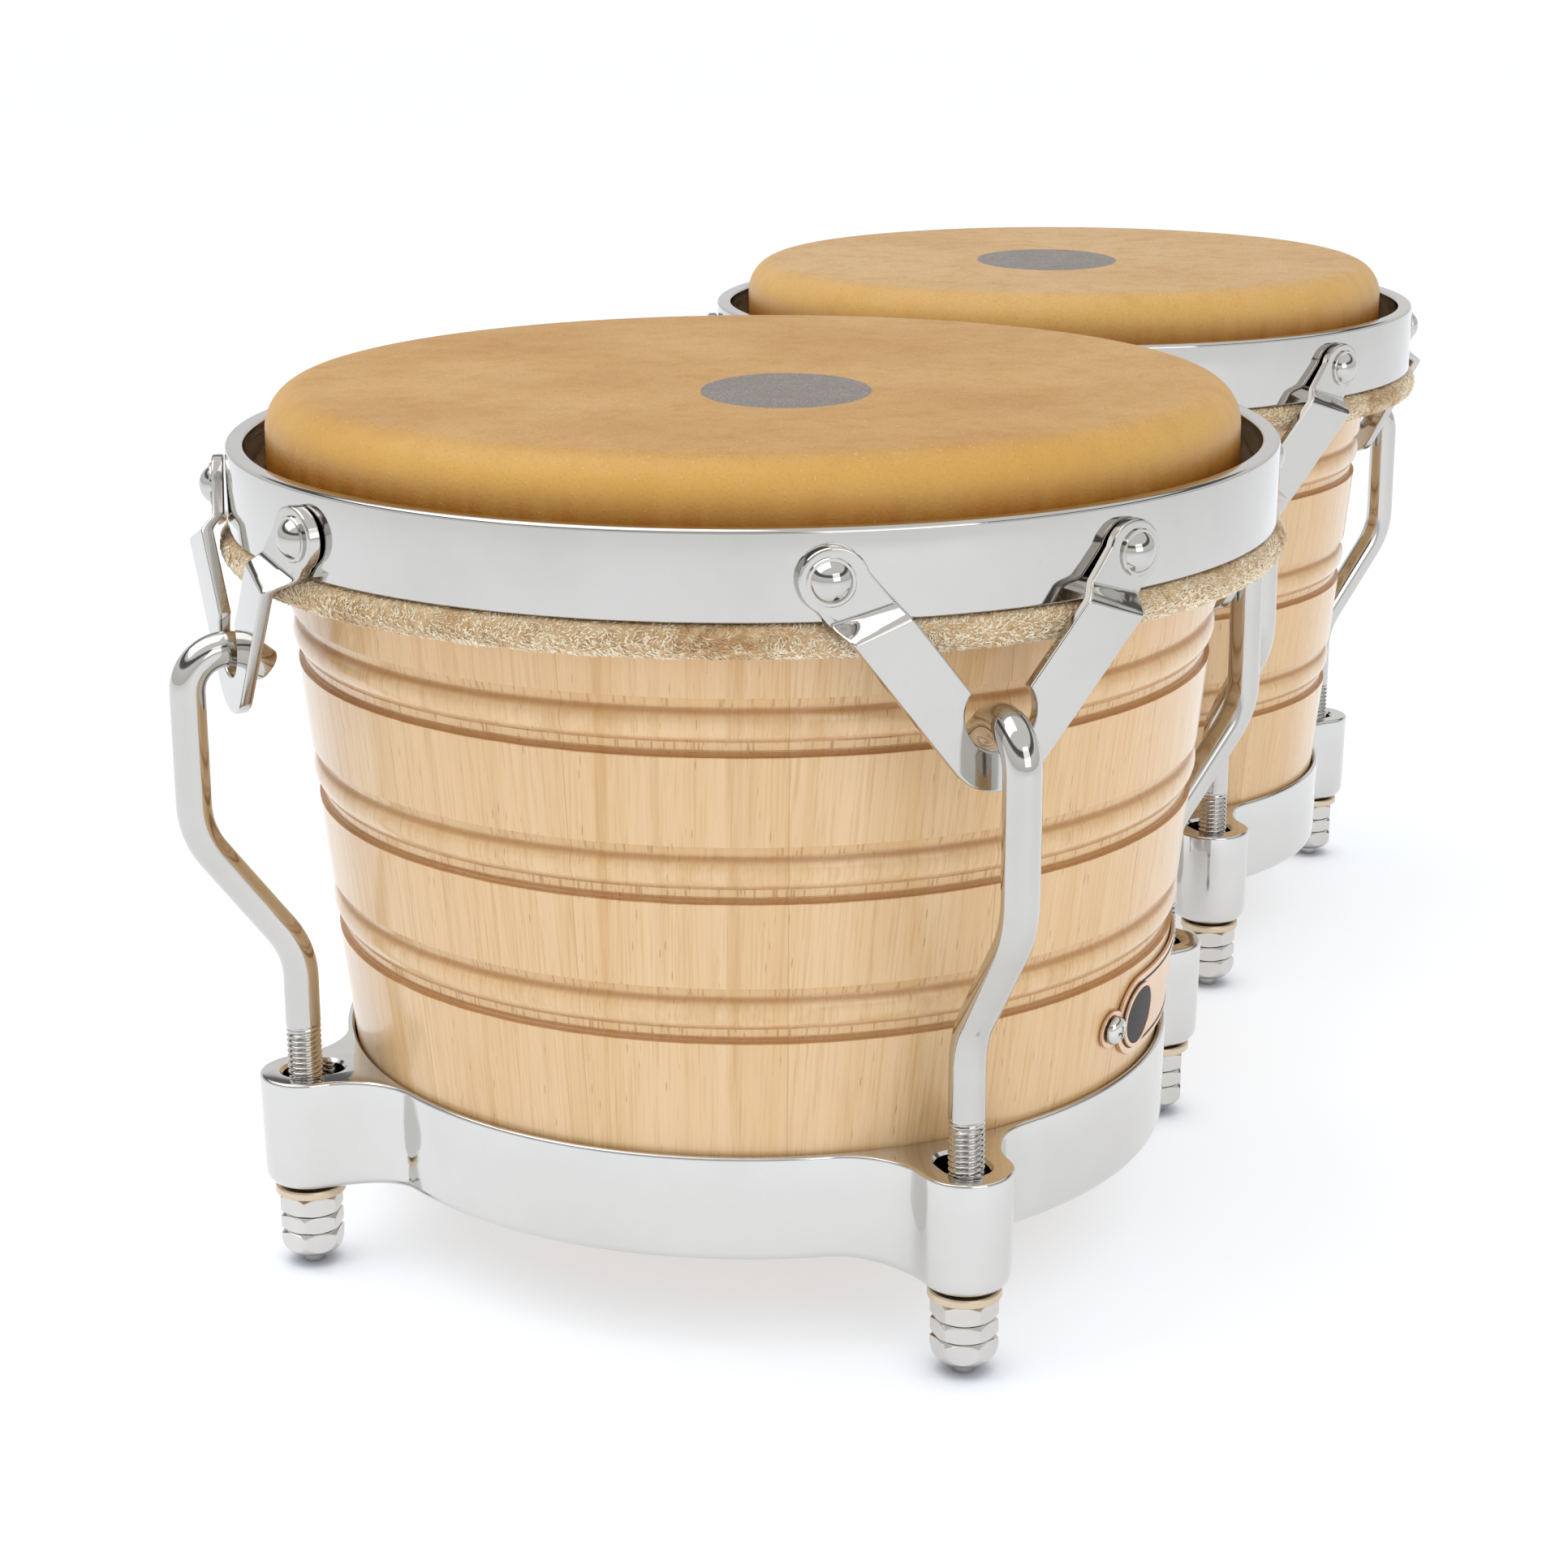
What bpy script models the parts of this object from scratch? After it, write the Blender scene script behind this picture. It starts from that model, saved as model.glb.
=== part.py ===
# Bongo drums: two tapered wooden drums joined by a centre block. Each head is pulled down by a
# steel rim, four V-shaped claws and four hooked tension rods that pass through a lugged bottom
# ring. Frame: metres, +Z up, +X from the large drum to the small one, the badge on the -Y side,
# the origin on the surface the rods stand on, below the middle of the pair.
import math

import bmesh
import bpy
from mathutils import Matrix, Vector

MM = 0.001
GAP = 0.3 * MM
OVERCUT = 5.0 * MM
STEPS = 36

# each drum: centre on X, radii, and the rivets' angle either side of a lug
LARGE = {
    "name": "large", "x": -115.0 * MM, "head": 110.0 * MM, "rim": 118.85 * MM,
    "collar": 120.7 * MM, "lug": 111.1 * MM, "hook": 133.0 * MM, "plate": 120.9 * MM,
    "shell_low": 95.4 * MM, "shell_high": 107.65 * MM, "ring": 97.4 * MM,
    "rivet_angle": math.radians(16.05), "block_side": 1,
}
SMALL = {
    "name": "small", "x": 131.0 * MM, "head": 93.2 * MM, "rim": 102.6 * MM,
    "collar": 104.3 * MM, "lug": 95.4 * MM, "hook": 116.6 * MM, "plate": 104.2 * MM,
    "shell_low": 79.4 * MM, "shell_high": 90.85 * MM, "ring": 81.2 * MM,
    "rivet_angle": math.radians(18.93), "block_side": -1,
}
LUG_ANGLES = [math.radians(a) for a in (-135, -45, 45, 135)]

# heights above the floor
SHELL_BOTTOM = 26.0 * MM
RING_BOTTOM = 22.4 * MM
RING_TOP = 46.4 * MM
LUG_BOTTOM = 19.6 * MM
CONE_TOP = 165.0 * MM
SHELL_INNER_TOP = 190.0 * MM
HEAD_TOP = 197.0 * MM
SKIRT_BOTTOM = 160.4 * MM
COLLAR_BOTTOM = 159.2 * MM
COLLAR_TOP = 166.2 * MM
RIM_BOTTOM = 166.5 * MM
RIM_TOP = 185.1 * MM
GROOVE_TOPS = [148.3 * MM, 116.3 * MM, 84.8 * MM]

# one pair of grooves with a bead between: drop from its top edge and depth below the cone
GROOVE_PAIR = [(0, 0), (1.7 * MM, 1.4 * MM), (5.8 * MM, -0.3 * MM), (10.6 * MM, 1.5 * MM),
               (12.6 * MM, 0)]

SHELL_WALL = 14.0 * MM
SKIN = 2.0 * MM
HEAD_CORNER = 9.0 * MM
COLLAR_ROUND = 2.2 * MM
RIM_WALL = 3.0 * MM
RIM_EDGE = 1.0 * MM
RIM_ROLL = 1.2 * MM
RIM_ROLL_DEPTH = 3.6 * MM
FLANGE = 10.0 * MM
RING_EDGE = 0.5 * MM
RING_FOOT_EDGE = 2.0 * MM

# lugs of the bottom ring
BOSS = 10.3 * MM
FLARE = 18.0 * MM
SLOT = 5.0 * MM
SLOT_INWARD = 3.8 * MM
SLOT_OUTWARD = 0.2 * MM

# tension rods
ROD = 3.95 * MM
ROD_TIP = 2.4 * MM
BEND_LOW = 75.0 * MM
BEND_HIGH = 105.0 * MM
BEND_RADIUS = 20.0 * MM
HOOK_HEIGHT = 136.75 * MM
HOOK_RADIUS = 8.7 * MM
HOOK_ANGLE = math.radians(130)
HOOK_END = 4.5 * MM

# claws
CLAW = 2.8 * MM
ARM_HALF = 6.35 * MM
ARM_LEAN = math.radians(38.5)
EAR = 7.6 * MM
RIVET_HEIGHT = 175.2 * MM
RIVET = 4.6 * MM
RIVET_RISE = 3.0 * MM
TIP_BOTTOM = 131.0 * MM
POCKET_HEIGHT = 147.2 * MM
POCKET = 7.9 * MM
JOG_TOP = 167.5 * MM
JOG_DROP = 4.5 * MM
JOG_SLANT = 0.32

# nuts and washers under each lug
WASHER = 8.0 * MM
WASHER_BOTTOM = 17.3 * MM
WASHER_TOP = 19.3 * MM
NUT_FLATS = 12.7 * MM
NUT_TOP = 17.0 * MM
NUT_MIDDLE = 11.6 * MM
NUT_SEAM = 0.2 * MM
NUT_BOTTOM = 6.4 * MM
DOMED_TOP = 6.1 * MM
DOMED_BOTTOM = 1.0 * MM
NUT_HOLE = 4.3 * MM

# centre block and its bolts
BLOCK_HALF_WIDTH = 26.0 * MM
BLOCK_BOTTOM = 58.0 * MM
BLOCK_TOP = 132.0 * MM
BLOCK_CLEARANCE = 1.0 * MM
BLOCK_EDGE = 4.0 * MM
BOLT_HEIGHT = 95.0 * MM
BOLT = 4.0 * MM
BOLT_HEAD_FLATS = 13.0 * MM
BOLT_HEAD = 5.5 * MM
BOLT_REACH = 42.0 * MM
BOLT_WASHER = 11.0 * MM
BOLT_WASHER_THICKNESS = 2.0 * MM
SEAT_DEPTH = 1.9 * MM
SEAT_MARGIN = 1.5 * MM
DRILL = 25.0 * MM

# badge on the large drum
BADGE_ANGLE = math.radians(-85)
BADGE_HEIGHT = 60.0 * MM
BADGE_HALF = 30.5 * MM
BADGE_END = 9.4 * MM
BADGE_TAB = 33.0 * MM
BADGE_TAB_RADIUS = 4.4 * MM
BADGE_THICKNESS = 0.8 * MM
MEDALLION = 7.6 * MM
MEDALLION_THICKNESS = 0.7 * MM
BADGE_SCREW = 3.3 * MM
BADGE_SCREW_SHANK = 1.4 * MM
BADGE_SCREW_HOLE = 1.8 * MM
BADGE_SCREW_DEPTH = 6.0 * MM

for old in list(bpy.data.objects):
    bpy.data.objects.remove(old)
bongos = bpy.data.collections.new("bongo_drums")
bpy.context.scene.collection.children.link(bongos)


def make_material(name, color, roughness, metallic=0.0):
    made = bpy.data.materials.new(name)
    made.use_nodes = True
    shader = made.node_tree.nodes["Principled BSDF"]
    shader.inputs["Base Color"].default_value = (*color, 1.0)
    shader.inputs["Roughness"].default_value = roughness
    shader.inputs["Metallic"].default_value = metallic
    return made


MATERIALS = {
    "wood": make_material("oiled_wood", (0.76, 0.54, 0.30), 0.3),
    "block": make_material("block_wood", (0.62, 0.40, 0.20), 0.4),
    "chrome": make_material("chrome", (0.82, 0.82, 0.84), 0.08, 1.0),
    "nickel": make_material("nickel", (0.66, 0.63, 0.58), 0.25, 1.0),
    "steel": make_material("steel", (0.55, 0.55, 0.56), 0.35, 1.0),
    "skin": make_material("skin", (0.58, 0.33, 0.11), 0.5),
    "rawhide": make_material("rawhide", (0.55, 0.41, 0.24), 0.9),
    "copper": make_material("copper", (0.72, 0.46, 0.33), 0.3, 1.0),
    "enamel": make_material("enamel", (0.06, 0.055, 0.06), 0.3),
}


# ---- shape helpers -------------------------------------------------------------------------

def link(name, mesh, matrix=None):
    made = bpy.data.objects.new(name, mesh)
    bongos.objects.link(made)
    if matrix is not None:
        made.matrix_world = matrix
    return made


def baked(source):
    """The evaluated mesh of an object, which is removed, with its loose seams welded."""
    bpy.context.view_layer.update()
    graph = bpy.context.evaluated_depsgraph_get()
    mesh = bpy.data.meshes.new_from_object(source.evaluated_get(graph))
    mesh.transform(source.matrix_world)
    work = bmesh.new()
    work.from_mesh(mesh)
    bmesh.ops.remove_doubles(work, verts=work.verts, dist=0.002 * MM)
    work.to_mesh(mesh)
    work.free()
    bpy.data.objects.remove(source)
    return mesh


def finished(name, mesh, material, matrix=None):
    """A named part that shows its round faces smooth and its edges sharp."""
    mesh.materials.clear()
    mesh.materials.append(MATERIALS[material])
    mesh.shade_smooth()
    mesh.set_sharp_from_angle(angle=math.radians(35))
    return link(name, mesh, matrix)


def turned(profile, steps=STEPS, closed=True):
    """Mesh of a profile of (radius, height) points turned about Z, outer side downwards first."""
    mesh = bpy.data.meshes.new("profile")
    edges = [(i, i + 1) for i in range(len(profile) - 1)]
    if closed:
        edges.append((len(profile) - 1, 0))
    mesh.from_pydata([(radius, 0.0, height) for radius, height in profile], edges, [])
    turning = link("profile", mesh)
    screw = turning.modifiers.new("turn", "SCREW")
    screw.steps = steps
    screw.render_steps = steps
    screw.use_merge_vertices = True
    screw.merge_threshold = 0.01 * MM
    return baked(turning)


def extruded(outlines, thickness):
    """Flat plate in the XY plane, centred on it, from closed outlines of (x, y) points."""
    curve = bpy.data.curves.new("outline", "CURVE")
    curve.dimensions = "2D"
    curve.fill_mode = "BOTH"
    curve.extrude = thickness / 2
    for outline in outlines:
        spline = curve.splines.new("POLY")
        spline.points.add(len(outline) - 1)
        for point, (x, y) in zip(spline.points, outline):
            point.co = (x, y, 0.0, 1.0)
        spline.use_cyclic_u = True
    return baked(link("outline", curve))


def prism(outline, bottom, top):
    mesh = extruded([outline], top - bottom)
    mesh.transform(Matrix.Translation((0, 0, (bottom + top) / 2)))
    return mesh


def tube(points, radii, radius):
    """Round bar along a list of points, with a radius factor at each point."""
    curve = bpy.data.curves.new("bar", "CURVE")
    curve.dimensions = "3D"
    curve.bevel_depth = radius
    curve.bevel_resolution = 2
    curve.use_fill_caps = True
    spline = curve.splines.new("POLY")
    spline.points.add(len(points) - 1)
    for point, place, factor in zip(spline.points, points, radii):
        point.co = (*place, 1.0)
        point.radius = factor
    return baked(link("bar", curve))


def combined(mesh, tools, operation):
    """Boolean of a mesh with each tool mesh in turn."""
    target = link("target", mesh)
    helpers = []
    for tool in tools:
        helper = link("tool", tool)
        helpers.append(helper)
        cut = target.modifiers.new("combine", "BOOLEAN")
        cut.operation = operation
        cut.solver = "EXACT"
        cut.object = helper
    result = baked(target)
    for helper in helpers:
        bpy.data.objects.remove(helper)
    return result


def moved(mesh, matrix):
    copy = mesh.copy()
    copy.transform(matrix)
    return copy


def aimed(place, direction):
    """Matrix that puts a shape's Z axis along a direction at a place."""
    turn = Vector(direction).to_track_quat("Z", "Y").to_matrix().to_4x4()
    return Matrix.Translation(place) @ turn


def arc(centre, radius, start, end, count):
    """Points on an arc from angle start to angle end, both included."""
    points = []
    for i in range(count + 1):
        angle = start + (end - start) * i / count
        points.append((centre[0] + radius * math.cos(angle), centre[1] + radius * math.sin(angle)))
    return points


def corner_angle(opposite, side, other):
    """Angle between two sides of a triangle, from the length opposite it."""
    return math.acos((side ** 2 + other ** 2 - opposite ** 2) / (2 * side * other))


def hexagon(flats):
    radius = flats / math.sqrt(3)
    return [(radius * math.cos(math.radians(60 * i)), radius * math.sin(math.radians(60 * i)))
            for i in range(6)]


def rod_shape(radius, low, high, steps=16):
    return turned([(radius, high), (radius, low), (0, low), (0, high)], steps)


# ---- the drums -----------------------------------------------------------------------------

def cone_radius(drum, height):
    """Outer radius of the wooden cone at a height, up to where the skin covers it."""
    share = (min(height, CONE_TOP) - RING_TOP) / (CONE_TOP - RING_TOP)
    return drum["shell_low"] + (drum["shell_high"] - drum["shell_low"]) * share


def shell_profile(drum):
    """Outer side downwards with the three pairs of grooves, then the plain inner side."""
    corner = (drum["head"] - HEAD_CORNER, HEAD_TOP - HEAD_CORNER)
    profile = arc(corner, drum["shell_high"] - corner[0], math.pi / 2, 0, 3)
    profile.append((drum["shell_high"], CONE_TOP))
    for top in GROOVE_TOPS:
        for drop, sink in GROOVE_PAIR:
            height = top - drop
            profile.append((cone_radius(drum, height) - sink, height))
    profile.append((cone_radius(drum, SHELL_BOTTOM), SHELL_BOTTOM))
    profile.append((cone_radius(drum, SHELL_BOTTOM) - SHELL_WALL, SHELL_BOTTOM))
    profile.append((drum["shell_high"] - SHELL_WALL, SHELL_INNER_TOP))
    return profile


def inner_radius(drum, height):
    low = cone_radius(drum, SHELL_BOTTOM) - SHELL_WALL
    high = drum["shell_high"] - SHELL_WALL
    share = (height - SHELL_BOTTOM) / (SHELL_INNER_TOP - SHELL_BOTTOM)
    return low + (high - low) * share


def bolt_matrix(drum, distance):
    """Place on a bolt's axis, at a distance from the drum's axis, pointing into the block."""
    side = drum["block_side"]
    return aimed((drum["x"] + side * distance, 0, BOLT_HEIGHT), (side, 0, 0))


def badge_matrix(drum, along, depth):
    """Place on the badge, at an arc length along it and a depth off the wood, pointing out."""
    angle = BADGE_ANGLE + along / cone_radius(drum, BADGE_HEIGHT)
    slope = (drum["shell_high"] - drum["shell_low"]) / (CONE_TOP - RING_TOP)
    radius = cone_radius(drum, BADGE_HEIGHT) + depth
    place = (drum["x"] + radius * math.cos(angle), radius * math.sin(angle), BADGE_HEIGHT)
    return aimed(place, (math.cos(angle), math.sin(angle), -slope))


def make_shell(drum):
    mesh = moved(turned(shell_profile(drum)), Matrix.Translation((drum["x"], 0, 0)))
    seat = inner_radius(drum, BOLT_HEIGHT) + SEAT_DEPTH
    drills = [
        moved(rod_shape(BOLT_WASHER + SEAT_MARGIN, -DRILL, 0, 24), bolt_matrix(drum, seat)),
        moved(rod_shape(BOLT + GAP, -DRILL, DRILL), bolt_matrix(drum, seat)),
    ]
    if drum is LARGE:
        for along in (-BADGE_TAB, BADGE_TAB):
            drills.append(moved(rod_shape(BADGE_SCREW_HOLE, -BADGE_SCREW_DEPTH - MM, OVERCUT, 10),
                                badge_matrix(drum, along, 0)))
    finished(drum["name"] + "_shell", combined(mesh, drills, "DIFFERENCE"), "wood")


def lug_outline(drum):
    """Plan of one lug: a round boss that flares smoothly into the ring on both sides."""
    ring = drum["ring"]
    lug = drum["lug"]
    turn = corner_angle(BOSS + FLARE, ring + FLARE, lug)
    flare = ((ring + FLARE) * math.cos(turn), (ring + FLARE) * math.sin(turn))
    contact = math.atan2(flare[1], flare[0] - lug)
    half = arc((lug, 0), BOSS, 0, contact, 4)
    half += arc(flare, FLARE, contact + math.pi, math.pi + turn, 4)[1:]
    inside = arc((0, 0), ring - 1.0 * MM, turn, -turn, 4)
    return half + inside + [(x, -y) for x, y in half[:0:-1]]


def make_ring(drum):
    ring = drum["ring"]
    inner_top = cone_radius(drum, RING_TOP) + GAP
    inner_low = cone_radius(drum, SHELL_BOTTOM) + GAP
    lip = SHELL_BOTTOM - GAP
    profile = [
        (inner_top + RING_EDGE, RING_TOP), (ring - RING_EDGE, RING_TOP),
        (ring, RING_TOP - RING_EDGE), (ring, RING_BOTTOM + RING_FOOT_EDGE),
        (ring - RING_FOOT_EDGE, RING_BOTTOM), (inner_low - FLANGE, RING_BOTTOM),
        (inner_low - FLANGE, lip), (inner_low, lip), (inner_top, RING_TOP - RING_EDGE),
    ]
    lug = prism(lug_outline(drum), LUG_BOTTOM, RING_TOP)
    slot = arc((drum["lug"] + SLOT_OUTWARD, 0), SLOT, -math.pi / 2, math.pi / 2, 5)
    slot += arc((drum["lug"] - SLOT_INWARD, 0), SLOT, math.pi / 2, 3 * math.pi / 2, 5)
    slot = prism(slot, LUG_BOTTOM - OVERCUT, RING_TOP + OVERCUT)
    turns = [Matrix.Rotation(angle, 4, "Z") for angle in LUG_ANGLES]
    mesh = combined(turned(profile), [moved(lug, turn) for turn in turns], "UNION")
    mesh = combined(mesh, [moved(slot, turn) for turn in turns], "DIFFERENCE")
    finished(drum["name"] + "_bottom_ring", mesh, "chrome", Matrix.Translation((drum["x"], 0, 0)))


def make_head(drum):
    """Skin: a flat top with a rounded corner and a skirt that hangs down round the shell."""
    outer = drum["head"]
    corner = (outer - HEAD_CORNER, HEAD_TOP - HEAD_CORNER)
    profile = [(0, HEAD_TOP)] + arc(corner, HEAD_CORNER, math.pi / 2, 0, 3)
    profile += [(outer, SKIRT_BOTTOM), (outer - SKIN, SKIRT_BOTTOM)]
    profile += arc(corner, HEAD_CORNER - SKIN, 0, math.pi / 2, 3) + [(0, HEAD_TOP - SKIN)]
    mesh = turned(profile, closed=False)
    finished(drum["name"] + "_head", mesh, "skin", Matrix.Translation((drum["x"], 0, 0)))


def make_collar(drum):
    """Flesh hoop wrapped in rawhide, which the rim presses down on."""
    outer = drum["collar"]
    inner = drum["head"] + GAP
    top = (outer - COLLAR_ROUND, COLLAR_TOP - COLLAR_ROUND)
    low = (outer - COLLAR_ROUND, COLLAR_BOTTOM + COLLAR_ROUND)
    profile = arc(top, COLLAR_ROUND, math.pi / 2, 0, 3) + arc(low, COLLAR_ROUND, 0, -math.pi / 2, 3)
    profile += [(inner, COLLAR_BOTTOM), (inner, COLLAR_TOP)]
    finished(drum["name"] + "_flesh_hoop", turned(profile), "rawhide",
             Matrix.Translation((drum["x"], 0, 0)))


def make_rim(drum):
    """Deep steel rim with a rolled top edge."""
    outer = drum["rim"]
    inner = outer - RIM_WALL
    roll = inner - RIM_ROLL
    profile = [
        (outer - RIM_EDGE, RIM_TOP), (outer, RIM_TOP - RIM_EDGE), (outer, RIM_BOTTOM),
        (inner, RIM_BOTTOM), (inner, RIM_TOP - RIM_ROLL_DEPTH),
        (roll, RIM_TOP - RIM_ROLL_DEPTH + RIM_EDGE), (roll, RIM_TOP - RIM_EDGE),
        (roll + RIM_EDGE, RIM_TOP),
    ]
    finished(drum["name"] + "_rim", turned(profile), "chrome", Matrix.Translation((drum["x"], 0, 0)))


# ---- claws, with X outwards, Y along the rim and Z up, from the drum's axis ------------------

def claw_outline(ear_side):
    """Closed V outline of (along the rim, height) points with an ear at each top end."""
    outer_dir = -ARM_LEAN
    inner_dir = math.pi - ARM_LEAN
    swing = math.acos(ARM_HALF / EAR)
    apex = RIVET_HEIGHT - (ear_side + ARM_HALF / math.cos(ARM_LEAN)) / math.tan(ARM_LEAN)
    tip = (TIP_BOTTOM - apex) / (1 / math.sin(ARM_LEAN) - 1)
    inner = RIVET_HEIGHT - (ear_side - ARM_HALF / math.cos(ARM_LEAN)) / math.tan(ARM_LEAN)
    drop = POCKET_HEIGHT - inner
    across = drop * math.sin(ARM_LEAN)
    reach = drop * math.cos(ARM_LEAN)
    along = math.sqrt(POCKET ** 2 - across ** 2) + reach
    mouth = math.atan2(inner + along * math.cos(ARM_LEAN) - POCKET_HEIGHT,
                       along * math.sin(ARM_LEAN))
    half = arc((0, TIP_BOTTOM + tip), tip, -math.pi / 2, outer_dir, 3)
    half += arc((ear_side, RIVET_HEIGHT), EAR, outer_dir - swing, inner_dir + swing, 9)
    half += arc((0, POCKET_HEIGHT), POCKET, mouth, -math.pi / 2, 5)
    return half + [(-x, y) for x, y in half[-2:0:-1]]


def claw_ramp(side, height, ear_side):
    """0 on the ears, 1 on the plate below the outward jog, smooth between."""
    slanted = height - JOG_SLANT * (ear_side - abs(side))
    share = min(max((JOG_TOP - slanted) / JOG_DROP, 0.0), 1.0)
    return share * share * (3 - 2 * share)


def claw_mesh(drum):
    """Plate whose ears lie on the rim and whose V stands off it, with both rivet heads."""
    angle = drum["rivet_angle"]
    seat = drum["rim"] + GAP
    ear_side = seat * math.sin(angle)
    mesh = extruded([claw_outline(ear_side)], CLAW)
    work = bmesh.new()
    work.from_mesh(mesh)
    for side in (-1, 1):
        normal = Vector((side * JOG_SLANT, 1, 0)).normalized()
        for share in (0.0, 0.5, 1.0):
            level = JOG_TOP - JOG_DROP * share + JOG_SLANT * ear_side
            near = [v for v in work.verts if v.co.x * side > 0.5 * MM]
            faces = {face for v in near for face in v.link_faces}
            edges = {edge for v in near for edge in v.link_edges}
            bmesh.ops.bisect_plane(work, geom=near + list(edges) + list(faces), dist=0.001 * MM,
                                   plane_co=(0, level, 0), plane_no=normal)
    for vert in work.verts:
        side, height, depth = vert.co.x, vert.co.y, vert.co.z + CLAW / 2
        on_ear = seat * math.cos(angle) - (abs(side) - ear_side) * math.tan(angle)
        ramp = claw_ramp(side, height, ear_side)
        vert.co = (on_ear + (drum["plate"] - on_ear) * ramp + depth, side, height)
    bmesh.ops.triangulate(work, faces=work.faces)
    bmesh.ops.recalc_face_normals(work, faces=work.faces)
    work.to_mesh(mesh)
    work.free()
    ball = (RIVET ** 2 + RIVET_RISE ** 2) / (2 * RIVET_RISE)
    edge = math.asin(RIVET / ball)
    dome = [(r, z) for z, r in arc((RIVET_RISE - ball, 0), ball, 0, edge, 2)]
    dome = turned(dome + [(RIVET, -1 * MM), (0, -1 * MM)], 10, closed=False)
    rivets = []
    for turn in (-angle, angle):
        direction = Vector((math.cos(turn), math.sin(turn), 0))
        place = direction * (seat + CLAW) + Vector((0, 0, RIVET_HEIGHT))
        rivets.append(moved(dome, aimed(place, direction)))
    return combined(mesh, rivets, "UNION")


# ---- tension rods, washers and nuts ----------------------------------------------------------

def rounded(corners, radius, count):
    """Path of (x, z) points through corners, each inner corner replaced by an arc."""
    path = [corners[0]]
    for before, here, after in zip(corners, corners[1:], corners[2:]):
        way_in = (Vector(before) - Vector(here)).normalized()
        way_out = (Vector(after) - Vector(here)).normalized()
        half = way_in.angle(way_out) / 2
        centre = Vector(here) + (way_in + way_out).normalized() * (radius / math.sin(half))
        start = Vector(here) + way_in * (radius / math.tan(half)) - centre
        end = Vector(here) + way_out * (radius / math.tan(half)) - centre
        for i in range(count + 1):
            path.append(tuple(centre + start.lerp(end, i / count).normalized() * radius))
    return path + [corners[-1]]


def rod_mesh(drum):
    """Hooked rod: up through the lug, out over the claw, then back down behind it."""
    low = drum["lug"]
    high = drum["hook"]
    path = rounded([(low, 0), (low, BEND_LOW), (high, BEND_HIGH), (high, HOOK_HEIGHT - 1 * MM)],
                   BEND_RADIUS, 3)
    path.insert(1, (low, 1.6 * MM))
    centre = (high - HOOK_RADIUS, HOOK_HEIGHT)
    path += arc(centre, HOOK_RADIUS, 0, HOOK_ANGLE, 6)
    x, z = path[-1]
    path.append((x - HOOK_END * math.sin(HOOK_ANGLE), z + HOOK_END * math.cos(HOOK_ANGLE)))
    radii = [ROD_TIP / ROD] + [1.0] * (len(path) - 1)
    return tube([(x, 0, z) for x, z in path], radii, ROD)


def washer_mesh():
    return turned([(WASHER, WASHER_TOP), (WASHER, WASHER_BOTTOM),
                   (NUT_HOLE, WASHER_BOTTOM), (NUT_HOLE, WASHER_TOP)], 16)


def nut_pair_mesh():
    """Tuning nut and lock nut, which turn as one, round a common threaded hole."""
    upper = prism(hexagon(NUT_FLATS), NUT_MIDDLE + NUT_SEAM, NUT_TOP)
    lower = prism(hexagon(NUT_FLATS), NUT_BOTTOM, NUT_MIDDLE - NUT_SEAM)
    neck = rod_shape(NUT_FLATS / 2 - 2 * NUT_SEAM, NUT_BOTTOM + MM, NUT_TOP - MM, 12)
    mesh = combined(upper, [lower, neck], "UNION")
    return combined(mesh, [rod_shape(NUT_HOLE, 0, RING_TOP, 12)], "DIFFERENCE")


def domed_nut_mesh():
    """Hexagon nut with a domed lower end, open where the rod's tip comes through."""
    body = prism(hexagon(NUT_FLATS), 0, DOMED_TOP)
    wide = NUT_FLATS / math.sqrt(3) + 0.3 * MM
    dome = turned([(0, DOMED_TOP + OVERCUT), (wide, DOMED_TOP + OVERCUT), (wide, 3.9 * MM),
                   (6.6 * MM, 2.3 * MM), (5.2 * MM, DOMED_BOTTOM), (0, DOMED_BOTTOM)], 12,
                  closed=False)
    mesh = combined(body, [dome], "INTERSECT")
    return combined(mesh, [rod_shape(NUT_HOLE, -OVERCUT, DOMED_TOP + OVERCUT, 12)], "DIFFERENCE")


def make_hardware(drum, washer, nuts, domed):
    claw = claw_mesh(drum)
    rod = rod_mesh(drum)
    centre = Matrix.Translation((drum["x"], 0, 0))
    for number, angle in enumerate(LUG_ANGLES, 1):
        turned_lug = centre @ Matrix.Rotation(angle, 4, "Z")
        at_rod = turned_lug @ Matrix.Translation((drum["lug"], 0, 0))
        suffix = "_" + str(number)
        finished(drum["name"] + "_claw" + suffix, claw, "chrome", turned_lug)
        finished(drum["name"] + "_tension_rod" + suffix, rod, "chrome", turned_lug)
        finished(drum["name"] + "_lug_washer" + suffix, washer, "nickel", at_rod)
        finished(drum["name"] + "_tuning_nuts" + suffix, nuts, "nickel", at_rod)
        finished(drum["name"] + "_domed_nut" + suffix, domed, "nickel", at_rod)


# ---- centre block, its bolts, and the badge --------------------------------------------------

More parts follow.
